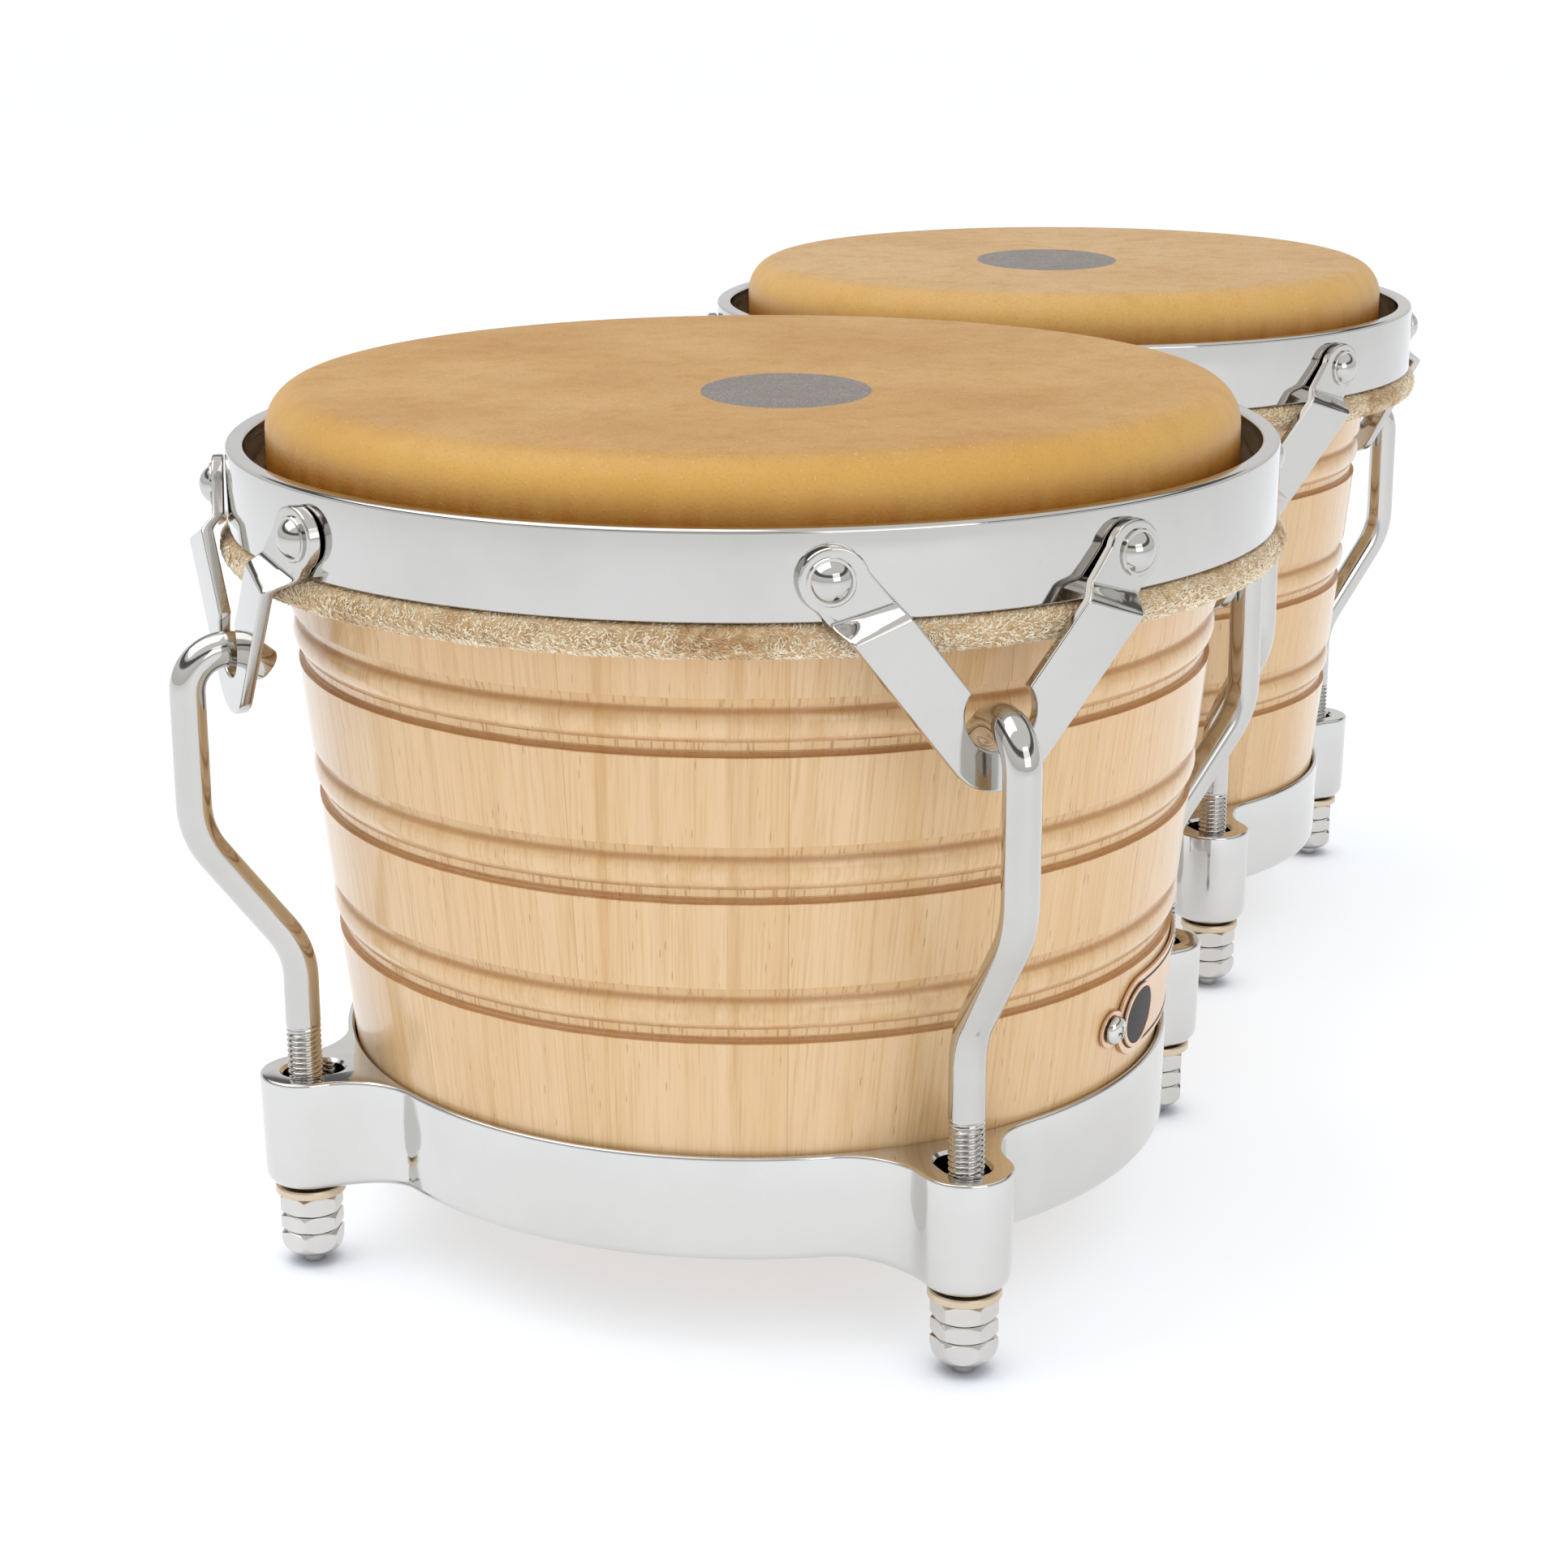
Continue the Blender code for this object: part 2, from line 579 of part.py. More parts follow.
def make_centre_block():
    """Wooden bridge between the drums, hollowed at both ends to fit their tapered sides."""
    left = LARGE["x"] + LARGE["shell_low"] - OVERCUT
    right = SMALL["x"] - SMALL["shell_low"] + OVERCUT
    bpy.ops.mesh.primitive_cube_add(size=1)
    block = bpy.context.object
    size = (right - left, 2 * BLOCK_HALF_WIDTH, BLOCK_TOP - BLOCK_BOTTOM)
    middle = ((left + right) / 2, 0, (BLOCK_TOP + BLOCK_BOTTOM) / 2)
    block.data.transform(Matrix.Translation(middle) @ Matrix.Diagonal((*size, 1)))
    bevel = block.modifiers.new("edges", "BEVEL")
    bevel.width = BLOCK_EDGE
    bevel.segments = 2
    mesh = baked(block)
    tools = []
    for drum in (LARGE, SMALL):
        bottom = BLOCK_BOTTOM - OVERCUT
        top = BLOCK_TOP + OVERCUT
        low = cone_radius(drum, bottom) + BLOCK_CLEARANCE
        high = cone_radius(drum, top) + BLOCK_CLEARANCE
        cone = turned([(high, top), (low, bottom), (0, bottom), (0, top)], closed=False)
        tools.append(moved(cone, Matrix.Translation((drum["x"], 0, 0))))
        seat = inner_radius(drum, BOLT_HEIGHT) + SEAT_DEPTH
        tools.append(moved(rod_shape(BOLT + GAP, 0, BOLT_REACH + 1 * MM),
                           bolt_matrix(drum, seat)))
    finished("centre_block", combined(mesh, tools, "DIFFERENCE"), "block")


def make_bridge_bolt(drum):
    """Hexagon bolt from inside a shell into the block, with a broad washer under its head."""
    seat = inner_radius(drum, BOLT_HEIGHT) + SEAT_DEPTH - GAP
    thickness = BOLT_WASHER_THICKNESS
    washer = turned([(BOLT_WASHER, 0), (BOLT_WASHER, -thickness), (BOLT + GAP, -thickness),
                     (BOLT + GAP, 0)], 20)
    finished(drum["name"] + "_bridge_washer", washer, "steel", bolt_matrix(drum, seat))
    head = prism(hexagon(BOLT_HEAD_FLATS), -BOLT_HEAD, 0)
    shank = rod_shape(BOLT, -1 * MM, BOLT_REACH - 3 * MM)
    finished(drum["name"] + "_bridge_bolt", combined(head, [shank], "UNION"), "steel",
             bolt_matrix(drum, seat - thickness - GAP))


def wrapped(mesh, drum, depth):
    """Bend a flat plate of (along, height) round the cone, its back at a depth off the wood."""
    work = bmesh.new()
    work.from_mesh(mesh)
    count = 12
    for i in range(1, count):
        along = BADGE_TAB * (2 * i / count - 1)
        bmesh.ops.bisect_plane(work, geom=work.verts[:] + work.edges[:] + work.faces[:],
                               dist=0.001 * MM, plane_co=(along, 0, 0), plane_no=(1, 0, 0))
    low = min(vert.co.z for vert in work.verts)
    for vert in work.verts:
        height = BADGE_HEIGHT + vert.co.y
        radius = cone_radius(drum, height) + depth + vert.co.z - low
        angle = BADGE_ANGLE + vert.co.x / cone_radius(drum, BADGE_HEIGHT)
        vert.co = (drum["x"] + radius * math.cos(angle), radius * math.sin(angle), height)
    bmesh.ops.triangulate(work, faces=work.faces)
    bmesh.ops.recalc_face_normals(work, faces=work.faces)
    work.to_mesh(mesh)
    work.free()
    return mesh


def make_badge(drum):
    """Thin metal plate with round ends and a screw tab at each, and a plain enamelled disc."""
    end = BADGE_HALF - BADGE_END
    swing = corner_angle(BADGE_TAB_RADIUS, BADGE_END, BADGE_TAB - end)
    reach = math.pi - corner_angle(BADGE_END, BADGE_TAB_RADIUS, BADGE_TAB - end)
    half = arc((end, 0), BADGE_END, -math.pi / 2, -swing, 4)
    half += arc((BADGE_TAB, 0), BADGE_TAB_RADIUS, -reach, reach, 8)[1:-1]
    half += arc((end, 0), BADGE_END, swing, math.pi / 2, 4)
    outline = half + [(-x, -y) for x, y in half]
    holes = [arc((side * BADGE_TAB, 0), BADGE_SCREW_HOLE, 0, 2 * math.pi * 7 / 8, 7)
             for side in (-1, 1)]
    plate = extruded([outline] + holes, BADGE_THICKNESS)
    finished("badge_plate", wrapped(plate, drum, GAP), "copper")
    disc = extruded([arc((-end, 0), MEDALLION, 0, 2 * math.pi * 19 / 20, 19)], MEDALLION_THICKNESS)
    finished("badge_medallion", wrapped(disc, drum, BADGE_THICKNESS + 2 * GAP), "enamel")
    profile = [(0, 2.1 * MM), (1.7 * MM, 1.9 * MM), (2.9 * MM, 1.2 * MM), (BADGE_SCREW, 0),
               (BADGE_SCREW_SHANK, 0), (BADGE_SCREW_SHANK, -BADGE_SCREW_DEPTH),
               (0, -BADGE_SCREW_DEPTH)]
    screw = turned(profile, 12, closed=False)
    for number, along in enumerate((-BADGE_TAB, BADGE_TAB), 1):
        finished("badge_screw_" + str(number), screw, "nickel",
                 badge_matrix(drum, along, BADGE_THICKNESS + 2.4 * GAP))


washer = washer_mesh()
nuts = nut_pair_mesh()
domed = domed_nut_mesh()
for drum in (LARGE, SMALL):
    make_shell(drum)
    make_ring(drum)
    make_head(drum)
    make_collar(drum)
    make_rim(drum)
    make_hardware(drum, washer, nuts, domed)
    make_bridge_bolt(drum)
make_centre_block()
make_badge(LARGE)
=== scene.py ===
import math
import random

import bmesh
import bpy
from mathutils import Matrix, Vector
from mathutils.noise import noise as waver


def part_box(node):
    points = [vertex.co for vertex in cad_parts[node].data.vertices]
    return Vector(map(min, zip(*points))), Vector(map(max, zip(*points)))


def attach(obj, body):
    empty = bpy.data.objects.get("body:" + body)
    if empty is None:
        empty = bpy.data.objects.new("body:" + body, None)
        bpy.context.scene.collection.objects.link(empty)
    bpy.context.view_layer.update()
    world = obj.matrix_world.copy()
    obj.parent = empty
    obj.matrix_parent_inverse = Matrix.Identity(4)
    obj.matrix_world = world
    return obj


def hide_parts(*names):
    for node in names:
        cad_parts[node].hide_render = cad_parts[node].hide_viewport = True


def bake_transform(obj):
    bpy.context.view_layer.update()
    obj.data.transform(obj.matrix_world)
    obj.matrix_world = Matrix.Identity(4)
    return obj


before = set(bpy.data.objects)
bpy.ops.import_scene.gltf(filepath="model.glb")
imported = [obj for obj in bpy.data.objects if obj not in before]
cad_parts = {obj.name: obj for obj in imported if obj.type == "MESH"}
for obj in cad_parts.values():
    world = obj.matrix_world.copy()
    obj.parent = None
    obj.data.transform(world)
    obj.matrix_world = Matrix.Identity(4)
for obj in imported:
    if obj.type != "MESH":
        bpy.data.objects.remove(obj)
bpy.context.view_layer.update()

mm = 0.001
fit = 0.3 * mm  # room between a piece and its neighbour
lugAngles = [math.radians(turn) for turn in (-135, -45, 45, 135)]

# the two drums: what the frame doesn't say about each; lengths in millimetres, turns in degrees
drums = {
    "large": {
        "shellLow": 95.4, "ring": 97.4, "hookOut": 21.9, "plateOut": 2.05, "rivetTurn": 16.05,
        "staves": 14, "stavePhase": 3.0, "blockSide": 1, "tufts": 18000,
        "skinTop": (0.62, 0.365, 0.125), "skinWarm": (0.50, 0.25, 0.06),
        "print": (-19.0, -15.5, 25.0, 19.0),
    },
    "small": {
        "shellLow": 79.4, "ring": 81.2, "hookOut": 21.2, "plateOut": 1.6, "rivetTurn": 18.93,
        "staves": 12, "stavePhase": 8.0, "blockSide": -1, "tufts": 15000,
        "skinTop": (0.68, 0.44, 0.20), "skinWarm": (0.60, 0.345, 0.12),
        "print": (-8.0, 2.5, 27.0, 20.5),
    },
}


def readFrame(name, drum):
    # places and outer sizes of a drum's parts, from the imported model
    low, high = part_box(name + "_head")
    drum["x"] = (low.x + high.x) / 2
    drum["head"] = (high.x - low.x) / 2
    drum["headTop"] = high.z
    drum["skirtBottom"] = low.z
    for part, node in (("rim", "rim"), ("collar", "flesh_hoop"), ("shell", "shell")):
        low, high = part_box(name + "_" + node)
        drum[part] = (high.x - low.x) / 2
        drum[part + "Top"] = high.z
        drum[part + "Bottom"] = low.z
    low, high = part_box(name + "_bottom_ring")
    drum["ringTop"] = high.z
    drum["lugBottom"] = low.z
    low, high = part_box(name + "_domed_nut_1")
    drum["lug"] = math.hypot((low.x + high.x) / 2 - drum["x"], (low.y + high.y) / 2)
    low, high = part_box(name + "_lug_washer_1")
    drum["washerTop"] = high.z
    drum["washerBottom"] = low.z
    low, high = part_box(name + "_tuning_nuts_1")
    drum["nutTop"] = high.z
    drum["hook"] = drum["lug"] + drum["hookOut"] * mm
    drum["plate"] = drum["rim"] + drum["plateOut"] * mm
    drum["at"] = Matrix.Translation((drum["x"], 0, 0))


for name, drum in drums.items():
    readFrame(name, drum)
print("frame read")


def arcPoints(centre, radius, start, end, count):
    points = []
    for i in range(count + 1):
        turn = start + (end - start) * i / count
        points.append((centre[0] + radius * math.cos(turn), centre[1] + radius * math.sin(turn)))
    return points


def circleRow(radius, height, count):
    return [(radius * math.cos(math.tau * i / count), radius * math.sin(math.tau * i / count), height)
            for i in range(count)]


def joinRows(rows, ends="open"):
    # rows of equally many points, each closed on itself, joined by four-sided faces
    count = len(rows[0])
    points = [point for row in rows for point in row]
    faces = []
    last = len(rows) if ends == "loop" else len(rows) - 1
    for i in range(last):
        here = i * count
        after = (i + 1) % len(rows) * count
        for j in range(count):
            k = (j + 1) % count
            faces.append((here + j, here + k, after + k, after + j))
    if ends == "capped":
        faces.append(tuple(range(count)))
        faces.append(tuple(range(len(points) - count, len(points))))
    return points, faces


def turnedRows(profile, count):
    return [circleRow(radius, height, count) for radius, height in profile]


def meshFrom(points, faces):
    mesh = bpy.data.meshes.new("shape")
    mesh.from_pydata(points, [], faces)
    work = bmesh.new()
    work.from_mesh(mesh)
    bmesh.ops.remove_doubles(work, verts=work.verts, dist=0.0002 * mm)
    bmesh.ops.recalc_face_normals(work, faces=work.faces)
    work.to_mesh(mesh)
    work.free()
    return mesh


def turned(profile, count=48, ends="loop"):
    return meshFrom(*joinRows(turnedRows(profile, count), ends))


def moved(mesh, matrix):
    copy = mesh.copy()
    copy.transform(matrix)
    return copy


def joined(meshes):
    work = bmesh.new()
    for mesh in meshes:
        work.from_mesh(mesh)
    result = bpy.data.meshes.new("joined")
    work.to_mesh(result)
    work.free()
    return result


def shown(name, mesh, matrix=None):
    made = bpy.data.objects.new(name, mesh)
    bpy.context.scene.collection.objects.link(made)
    if matrix is not None:
        made.matrix_world = matrix
    return made


def applied(piece):
    # the mesh of an object with its modifiers worked in; the object goes away
    bpy.context.view_layer.update()
    graph = bpy.context.evaluated_depsgraph_get()
    mesh = bpy.data.meshes.new_from_object(piece.evaluated_get(graph))
    bpy.data.objects.remove(piece)
    return mesh


def combined(mesh, tools, operation="DIFFERENCE"):
    target = shown("target", mesh)
    helpers = []
    for tool in tools:
        helper = shown("tool", tool)
        helpers.append(helper)
        cut = target.modifiers.new("combine", "BOOLEAN")
        cut.operation = operation
        cut.solver = "EXACT"
        cut.object = helper
    result = applied(target)
    for helper in helpers:
        bpy.data.objects.remove(helper)
    return result


def eased(mesh, width, segments=2, turn=30):
    # mesh with its sharp edges rounded off
    piece = shown("eased", mesh)
    bevel = piece.modifiers.new("edges", "BEVEL")
    bevel.width = width
    bevel.segments = segments
    bevel.limit_method = "ANGLE"
    bevel.angle_limit = math.radians(turn)
    return applied(piece)


def flatPlate(outlines, thick, edge, steps):
    # flat plate with rounded edges, still open for editing; outlines after the first are holes
    curve = bpy.data.curves.new("plan", "CURVE")
    curve.dimensions = "2D"
    curve.fill_mode = "BOTH"
    curve.extrude = thick / 2 - edge
    curve.bevel_depth = edge
    curve.bevel_resolution = steps
    curve.offset = -edge
    for outline in outlines:
        spline = curve.splines.new("POLY")
        spline.points.add(len(outline) - 1)
        for point, (x, y) in zip(spline.points, outline):
            point.co = (x, y, 0.0, 1.0)
        spline.use_cyclic_u = True
    mesh = applied(shown("plan", curve))
    work = bmesh.new()
    work.from_mesh(mesh)
    bmesh.ops.remove_doubles(work, verts=work.verts, dist=0.002 * mm)
    return mesh, work


def finishPlate(mesh, work):
    bmesh.ops.triangulate(work, faces=work.faces)
    bmesh.ops.recalc_face_normals(work, faces=work.faces)
    work.to_mesh(mesh)
    work.free()
    return mesh


def newPiece(name, mesh, material, body, nodes, matrix=None, sharp=40, flat=False):
    # a named piece that shows its round faces smooth, rides on a body and stands for CAD nodes;
    # flat keeps the light even across flat faces with rounded edges
    mesh.materials.clear()
    mesh.materials.append(material)
    mesh.shade_smooth()
    mesh.set_sharp_from_angle(angle=math.radians(sharp))
    if flat:
        piece = shown(name, mesh)
        weigh = piece.modifiers.new("normals", "WEIGHTED_NORMAL")
        weigh.keep_sharp = True
        mesh = applied(piece)
    mesh.name = name
    piece = shown(name, mesh, matrix)
    if body:
        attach(piece, body)
    if nodes:
        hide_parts(*nodes)
    return piece


def aimed(place, direction):
    turn = Vector(direction).to_track_quat("Z", "Y").to_matrix().to_4x4()
    return Matrix.Translation(place) @ turn


class Wire:
    # a socket that can be used in arithmetic; each sign adds its Math node

    def __init__(self, shade, socket):
        self.shade = shade
        self.socket = socket

    def math(self, operation, *others):
        return self.shade.node("Math", {"operation": operation}, dict(enumerate((self, *others))))

    def __add__(self, other):
        return self.math("ADD", other)

    def __radd__(self, other):
        return self.math("ADD", other)

    def __sub__(self, other):
        return self.math("SUBTRACT", other)

    def __rsub__(self, other):
        return self.shade.node("Math", {"operation": "SUBTRACT"}, {0: other, 1: self})

    def __mul__(self, other):
        return self.math("MULTIPLY", other)

    def __rmul__(self, other):
        return self.math("MULTIPLY", other)

    def __truediv__(self, other):
        return self.math("DIVIDE", other)

    def smooth(self, low, high):
        # 0 below low, 1 above high, eased between
        return self.shade.node("MapRange", {"interpolation_type": "SMOOTHSTEP"},
                               {"Value": self, "From Min": low, "From Max": high})


class Shade:
    # one procedural material; lengths in it are metres from the piece's own origin

    def __init__(self, name):
        self.material = bpy.data.materials.new(name)
        self.material.use_nodes = True
        self.tree = self.material.node_tree
        self.tree.nodes.clear()
        self.place = self.node("TexCoord", output="Object")

    def node(self, kind, settings=(), inputs=(), output=0):
        made = self.tree.nodes.new("ShaderNode" + kind)
        for key, value in dict(settings).items():
            setattr(made, key, value)
        for key, value in dict(inputs).items():
            if isinstance(value, Wire):
                self.tree.links.new(value.socket, made.inputs[key])
            else:
                made.inputs[key].default_value = value
        return Wire(self, made.outputs[output])

    def axis(self, vector, index):
        return self.node("SeparateXYZ", inputs={0: vector}, output=index)

    def vector(self, x, y, z):
        return self.node("CombineXYZ", inputs={0: x, 1: y, 2: z})

    def scaled(self, vector, x, y, z):
        return self.node("VectorMath", {"operation": "MULTIPLY"}, {0: vector, 1: (x, y, z)})

    def noise(self, vector, scale, detail=2.0, roughness=0.5):
        return self.node("TexNoise", inputs={"Vector": vector, "Scale": scale, "Detail": detail,
                                             "Roughness": roughness})

    def mix(self, amount, first, second):
        first = first if isinstance(first, Wire) else (*first, 1.0)
        second = second if isinstance(second, Wire) else (*second, 1.0)
        return self.node("Mix", {"data_type": "RGBA"}, {0: amount, 6: first, 7: second}, 2)

    def bump(self, height, distance, strength=1.0):
        return self.node("Bump", inputs={"Height": height, "Distance": distance,
                                         "Strength": strength})

    def surface(self, inputs):
        bsdf = self.node("BsdfPrincipled", inputs=inputs)
        end = self.tree.nodes.new("ShaderNodeOutputMaterial")
        self.tree.links.new(bsdf.socket, end.inputs["Surface"])
        return self.material


# turned rubberwood of the shells, lacquered
woodLook = {
    "pale": (0.83, 0.585, 0.335), "mellow": (0.75, 0.475, 0.215), "honey": (0.68, 0.41, 0.16),
    "amber": (0.56, 0.29, 0.08), "brown": (0.42, 0.175, 0.045), "pore": (0.31, 0.125, 0.03),
    "joint": (0.36, 0.17, 0.055),
    "broad": 60.0, "bands": 300.0, "streaks": 150.0, "fine": 1000.0, "threads": 2000.0,
    "pores": 1150.0, "roughness": 0.30, "coat": 0.55, "coatRoughness": 0.10, "relief": 0.05,
}
# turned shape of the shells, in millimetres; sides is the number of facets round a shell
shellLook = {
    "wall": 14.0, "innerTop": 190.0, "foot": 0.8, "sides": 192,
    "seatRoom": 1.5, "boltBore": 4.3, "boreDepth": 30.0, "cutterLength": 20.0,
}
coneTop = 165.0 * mm
grooveTops = [148.3 * mm, 116.3 * mm, 84.8 * mm]
# each groove pair: drop from its top edge and depth below the cone, in millimetres
grooveProfile = [
    (0.0, 0.0), (0.08, 0.55), (0.2, 0.92), (1.0, 1.05), (1.8, 1.28), (2.2, 1.32), (2.7, 1.12),
    (3.2, 0.72), (3.8, 0.32), (4.6, -0.05), (5.6, -0.28), (6.6, -0.26), (7.5, -0.05), (8.3, 0.3),
    (8.85, 0.68), (9.1, 1.05), (9.35, 1.15), (9.6, 1.0), (10.4, 1.05), (11.2, 1.15), (11.45, 1.5),
    (12.0, 1.55), (12.4, 1.1), (12.55, 0.4), (12.6, 0.0),
]
# stretches of that profile: where each starts and ends below the top edge, and how softly
grooveBands = {
    "upperCut": (0.05, 2.1, 0.1), "cove": (2.2, 3.5, 0.6), "bead": (3.0, 9.0, 0.6),
    "notch": (9.0, 9.5, 0.2), "fillet": (9.6, 11.3, 0.1), "lowerCove": (11.5, 12.7, 0.22),
}


def coneRadius(drum, height):
    low = drum["shellLow"] * mm
    share = (min(height, coneTop) - drum["ringTop"]) / (coneTop - drum["ringTop"])
    return low + (drum["shell"] - low) * share


def woodFinish(name, look, drum):
    shade = Shade(name)
    x = shade.axis(shade.place, 0)
    y = shade.axis(shade.place, 1)
    z = shade.axis(shade.place, 2)
    turn = y.math("ARCTAN2", x)
    # how far off the plain cone a point is: the grain runs along the cone
    slope = (drum["shell"] - drum["shellLow"] * mm) / (coneTop - drum["ringTop"])
    sink = (x * x + y * y).math("SQRT") - z * slope
    # staves: each has its own tone and its own stretch of grain
    staves = turn * (drum["staves"] / math.tau) + drum["stavePhase"]
    stave = staves.math("FLOOR")
    across = staves - stave
    luck = shade.node("TexWhiteNoise", {"noise_dimensions": "1D"}, {"W": stave})
    tone = shade.node("TexWhiteNoise", {"noise_dimensions": "1D"}, {"W": stave + 40.5})
    lean = (luck - 0.5) * 0.14
    arc = turn * drum["shell"] + z * lean
    grain = shade.vector(arc, sink * 0.5, z * 0.035 + luck * 3.0)
    broad = shade.noise(grain, look["broad"], 3.0, 0.55)
    bands = shade.noise(grain, look["bands"], 2.0, 0.5)
    fine = shade.noise(grain, look["fine"], 3.0, 0.6)
    streak = shade.noise(grain, look["streaks"], 2.0, 0.5).smooth(0.58, 0.72)
    threads = shade.noise(shade.vector(arc, sink * 0.4, z * 0.03 + luck * 5.0), look["threads"],
                          2.0, 0.5)
    color = shade.mix(broad.smooth(0.3, 0.7) * 0.8, look["pale"], look["mellow"])
    color = shade.mix(tone * 0.45, color, look["mellow"])
    color = shade.mix(bands.smooth(0.42, 0.72) * 0.26, color, look["honey"])
    color = shade.mix(streak * 0.34, color, look["amber"])
    color = shade.mix(fine.smooth(0.50, 0.70) * 0.26, color, look["amber"])
    color = shade.mix(threads.smooth(0.54, 0.68) * 0.28, color, look["amber"])
    color = shade.mix((1 - threads.smooth(0.34, 0.46)) * 0.3, color, look["pale"])
    # which groove pair a point is in, and how far below its top edge
    drop = grooveTops[0] - z
    for upper, lower in zip(grooveTops, grooveTops[1:]):
        drop = drop - z.math("LESS_THAN", lower) * (upper - lower)
    cloud = shade.noise(shade.place, 110.0, 4.0, 0.6)
    drop = drop + (cloud - 0.5) * 0.7 * mm

    def band(part):
        # 1 inside a stretch of the grooves' profile, 0 outside
        start, end, soft = grooveBands[part]
        rise = drop.smooth((start - soft) * mm, (start + soft) * mm)
        return rise - drop.smooth((end - soft) * mm, (end + soft) * mm)

    upperCut = band("upperCut")
    cove = band("cove")
    notch = band("notch")
    fillet = band("fillet")
    lowerCove = band("lowerCove")
    bead = band("bead")
    # pores: short fine dashes along the grain, opened up where the grooves cut across it
    dashes = shade.node("TexVoronoi", {"feature": "F1"},
                        {"Vector": shade.vector(arc, sink * 0.2, z * 0.1 + luck),
                         "Scale": look["pores"]})
    chosen = shade.noise(grain, 260.0, 1.0).smooth(0.46, 0.64)
    pores = (1 - dashes.smooth(0.07, 0.19)) * chosen
    cuts = shade.node("TexVoronoi", {"feature": "F1"},
                      {"Vector": shade.vector(arc, 0.0, z * 0.12), "Scale": look["pores"]})
    openPores = (1 - cuts.smooth(0.20, 0.42)) * (upperCut + fillet)
    specks = shade.noise(shade.vector(arc, sink, z * 0.5), 2400.0, 2.0, 0.6).smooth(0.60, 0.70)
    color = shade.mix(pores * 0.7 + openPores * 0.75, color, look["pore"])
    # oiled dirt and burnished wood at the bottom of the grooves; the brown in the coves and the notch
    # is partly painted shade, standing for the shadow that falls into them
    color = shade.mix(upperCut * 0.5 + fillet * 0.35, color, look["honey"])
    color = shade.mix(bead * cloud.smooth(0.45, 0.7) * 0.30, color, look["amber"])
    color = shade.mix(cove * (0.62 + specks * 0.2) + notch * 0.55, color, look["brown"])
    color = shade.mix(lowerCove * (0.6 + specks * 0.35), color, look["brown"])
    deep = cove + lowerCove
    joint = 1 - (across * (1 - across)).smooth(0.0008, 0.0042)
    color = shade.mix(joint * (tone * 0.5 + 0.25), color, look["joint"])
    relief = fine * 0.25 - pores - joint * 0.6
    smear = shade.noise(shade.place, 35.0, 3.0)
    return shade.surface({
        "Base Color": color,
        "Roughness": look["roughness"] + (smear - 0.5) * 0.16 + deep * 0.12,
        "Coat Weight": look["coat"] - deep * 0.25,
        "Coat Roughness": look["coatRoughness"],
        "Normal": shade.bump(relief, look["relief"] * mm, 0.5),
    })


def makeShell(name, drum):
    # outer side with its turned grooves from the top down, then the plain inside
    look = shellLook
    corner = skinLook["corner"] * mm
    skinCorner = (drum["head"] - corner, drum["headTop"] - corner)
    profile = arcPoints(skinCorner, drum["shell"] - skinCorner[0], math.pi / 2, 0, 6)
    profile.append((drum["shell"], coneTop))
    for top in grooveTops:
        for drop, sink in grooveProfile:
            height = top - drop * mm
            profile.append((coneRadius(drum, height) - sink * mm, height))
    low = coneRadius(drum, drum["shellBottom"])
    edge = look["foot"] * mm
    wall = look["wall"] * mm
    profile.append((low, drum["shellBottom"] + edge))
    profile.append((low - edge, drum["shellBottom"]))
    profile.append((low - wall + edge, drum["shellBottom"]))
    profile.append((low - wall, drum["shellBottom"] + edge))
    profile.append((drum["shell"] - wall, look["innerTop"] * mm))
    mesh = turned(profile, look["sides"])
    # seat and bore for the bolt that holds the centre block
    low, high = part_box(name + "_bridge_washer")
    side = drum["blockSide"]
    face = (high.x if side > 0 else low.x) + side * fit - drum["x"]
    height = (low.z + high.z) / 2
    seat = (high.z - low.z) / 2 + look["seatRoom"] * mm
    back = -look["cutterLength"] * mm
    tools = []
    for radius, reach in ((seat, 0.0), (look["boltBore"] * mm, look["boreDepth"] * mm)):
        cutter = turned([(0, back), (radius, back), (radius, reach), (0, reach)], 40, "open")
        tools.append(moved(cutter, aimed((face, 0, height), (side, 0, 0))))
    mesh = combined(mesh, tools)
    material = woodFinish(name + "ShellWood", woodLook, drum)
    newPiece(name + "ShellTurned", mesh, material, "root", [name + "_shell"],
             drum["at"], 28)


# finishes of the metal pieces: plated, zinced or copper-coloured
# the same chrome twice: a brighter copy for the rings, and a copy drawn darker for the rims, claws
# and rods, as a painted reflection of the dimmer surroundings they face
litRingChromeLook = {"color": (0.665, 0.652, 0.63), "dull": (0.60, 0.587, 0.565), "roughness": 0.05}
shadedChromeLook = {"color": (0.585, 0.568, 0.54), "dull": (0.515, 0.498, 0.47), "roughness": 0.05}
nickelLook = {"color": (0.68, 0.66, 0.63), "dull": (0.52, 0.49, 0.45), "roughness": 0.13}
washerLook = {"color": (0.70, 0.58, 0.43), "dull": (0.55, 0.42, 0.28), "roughness": 0.28}
steelLook = {"color": (0.62, 0.61, 0.58), "dull": (0.44, 0.42, 0.38), "roughness": 0.32}
copperLook = {"color": (0.82, 0.585, 0.42), "dull": (0.68, 0.44, 0.29), "roughness": 0.26}


def metalFinish(name, look, stretch=(1.0, 1.0, 1.0)):
    shade = Shade(name)
    smear = shade.noise(shade.place, 28.0, 4.0, 0.6)
    specks = shade.noise(shade.place, 900.0, 2.0).smooth(0.68, 0.80)
    hairs = shade.noise(shade.scaled(shade.place, *stretch), 1500.0, 2.0)
    color = shade.mix(smear.smooth(0.35, 0.75) * 0.5 + specks * 0.3, look["color"], look["dull"])
    rough = look["roughness"] + smear.smooth(0.3, 0.8) * 0.05 + specks * 0.12 + hairs * 0.02
    return shade.surface({
        "Base Color": color,
        "Roughness": rough,
        "Metallic": 1.0,
        "Normal": shade.bump(hairs + smear * 6, 0.004 * mm, 0.35),
    })
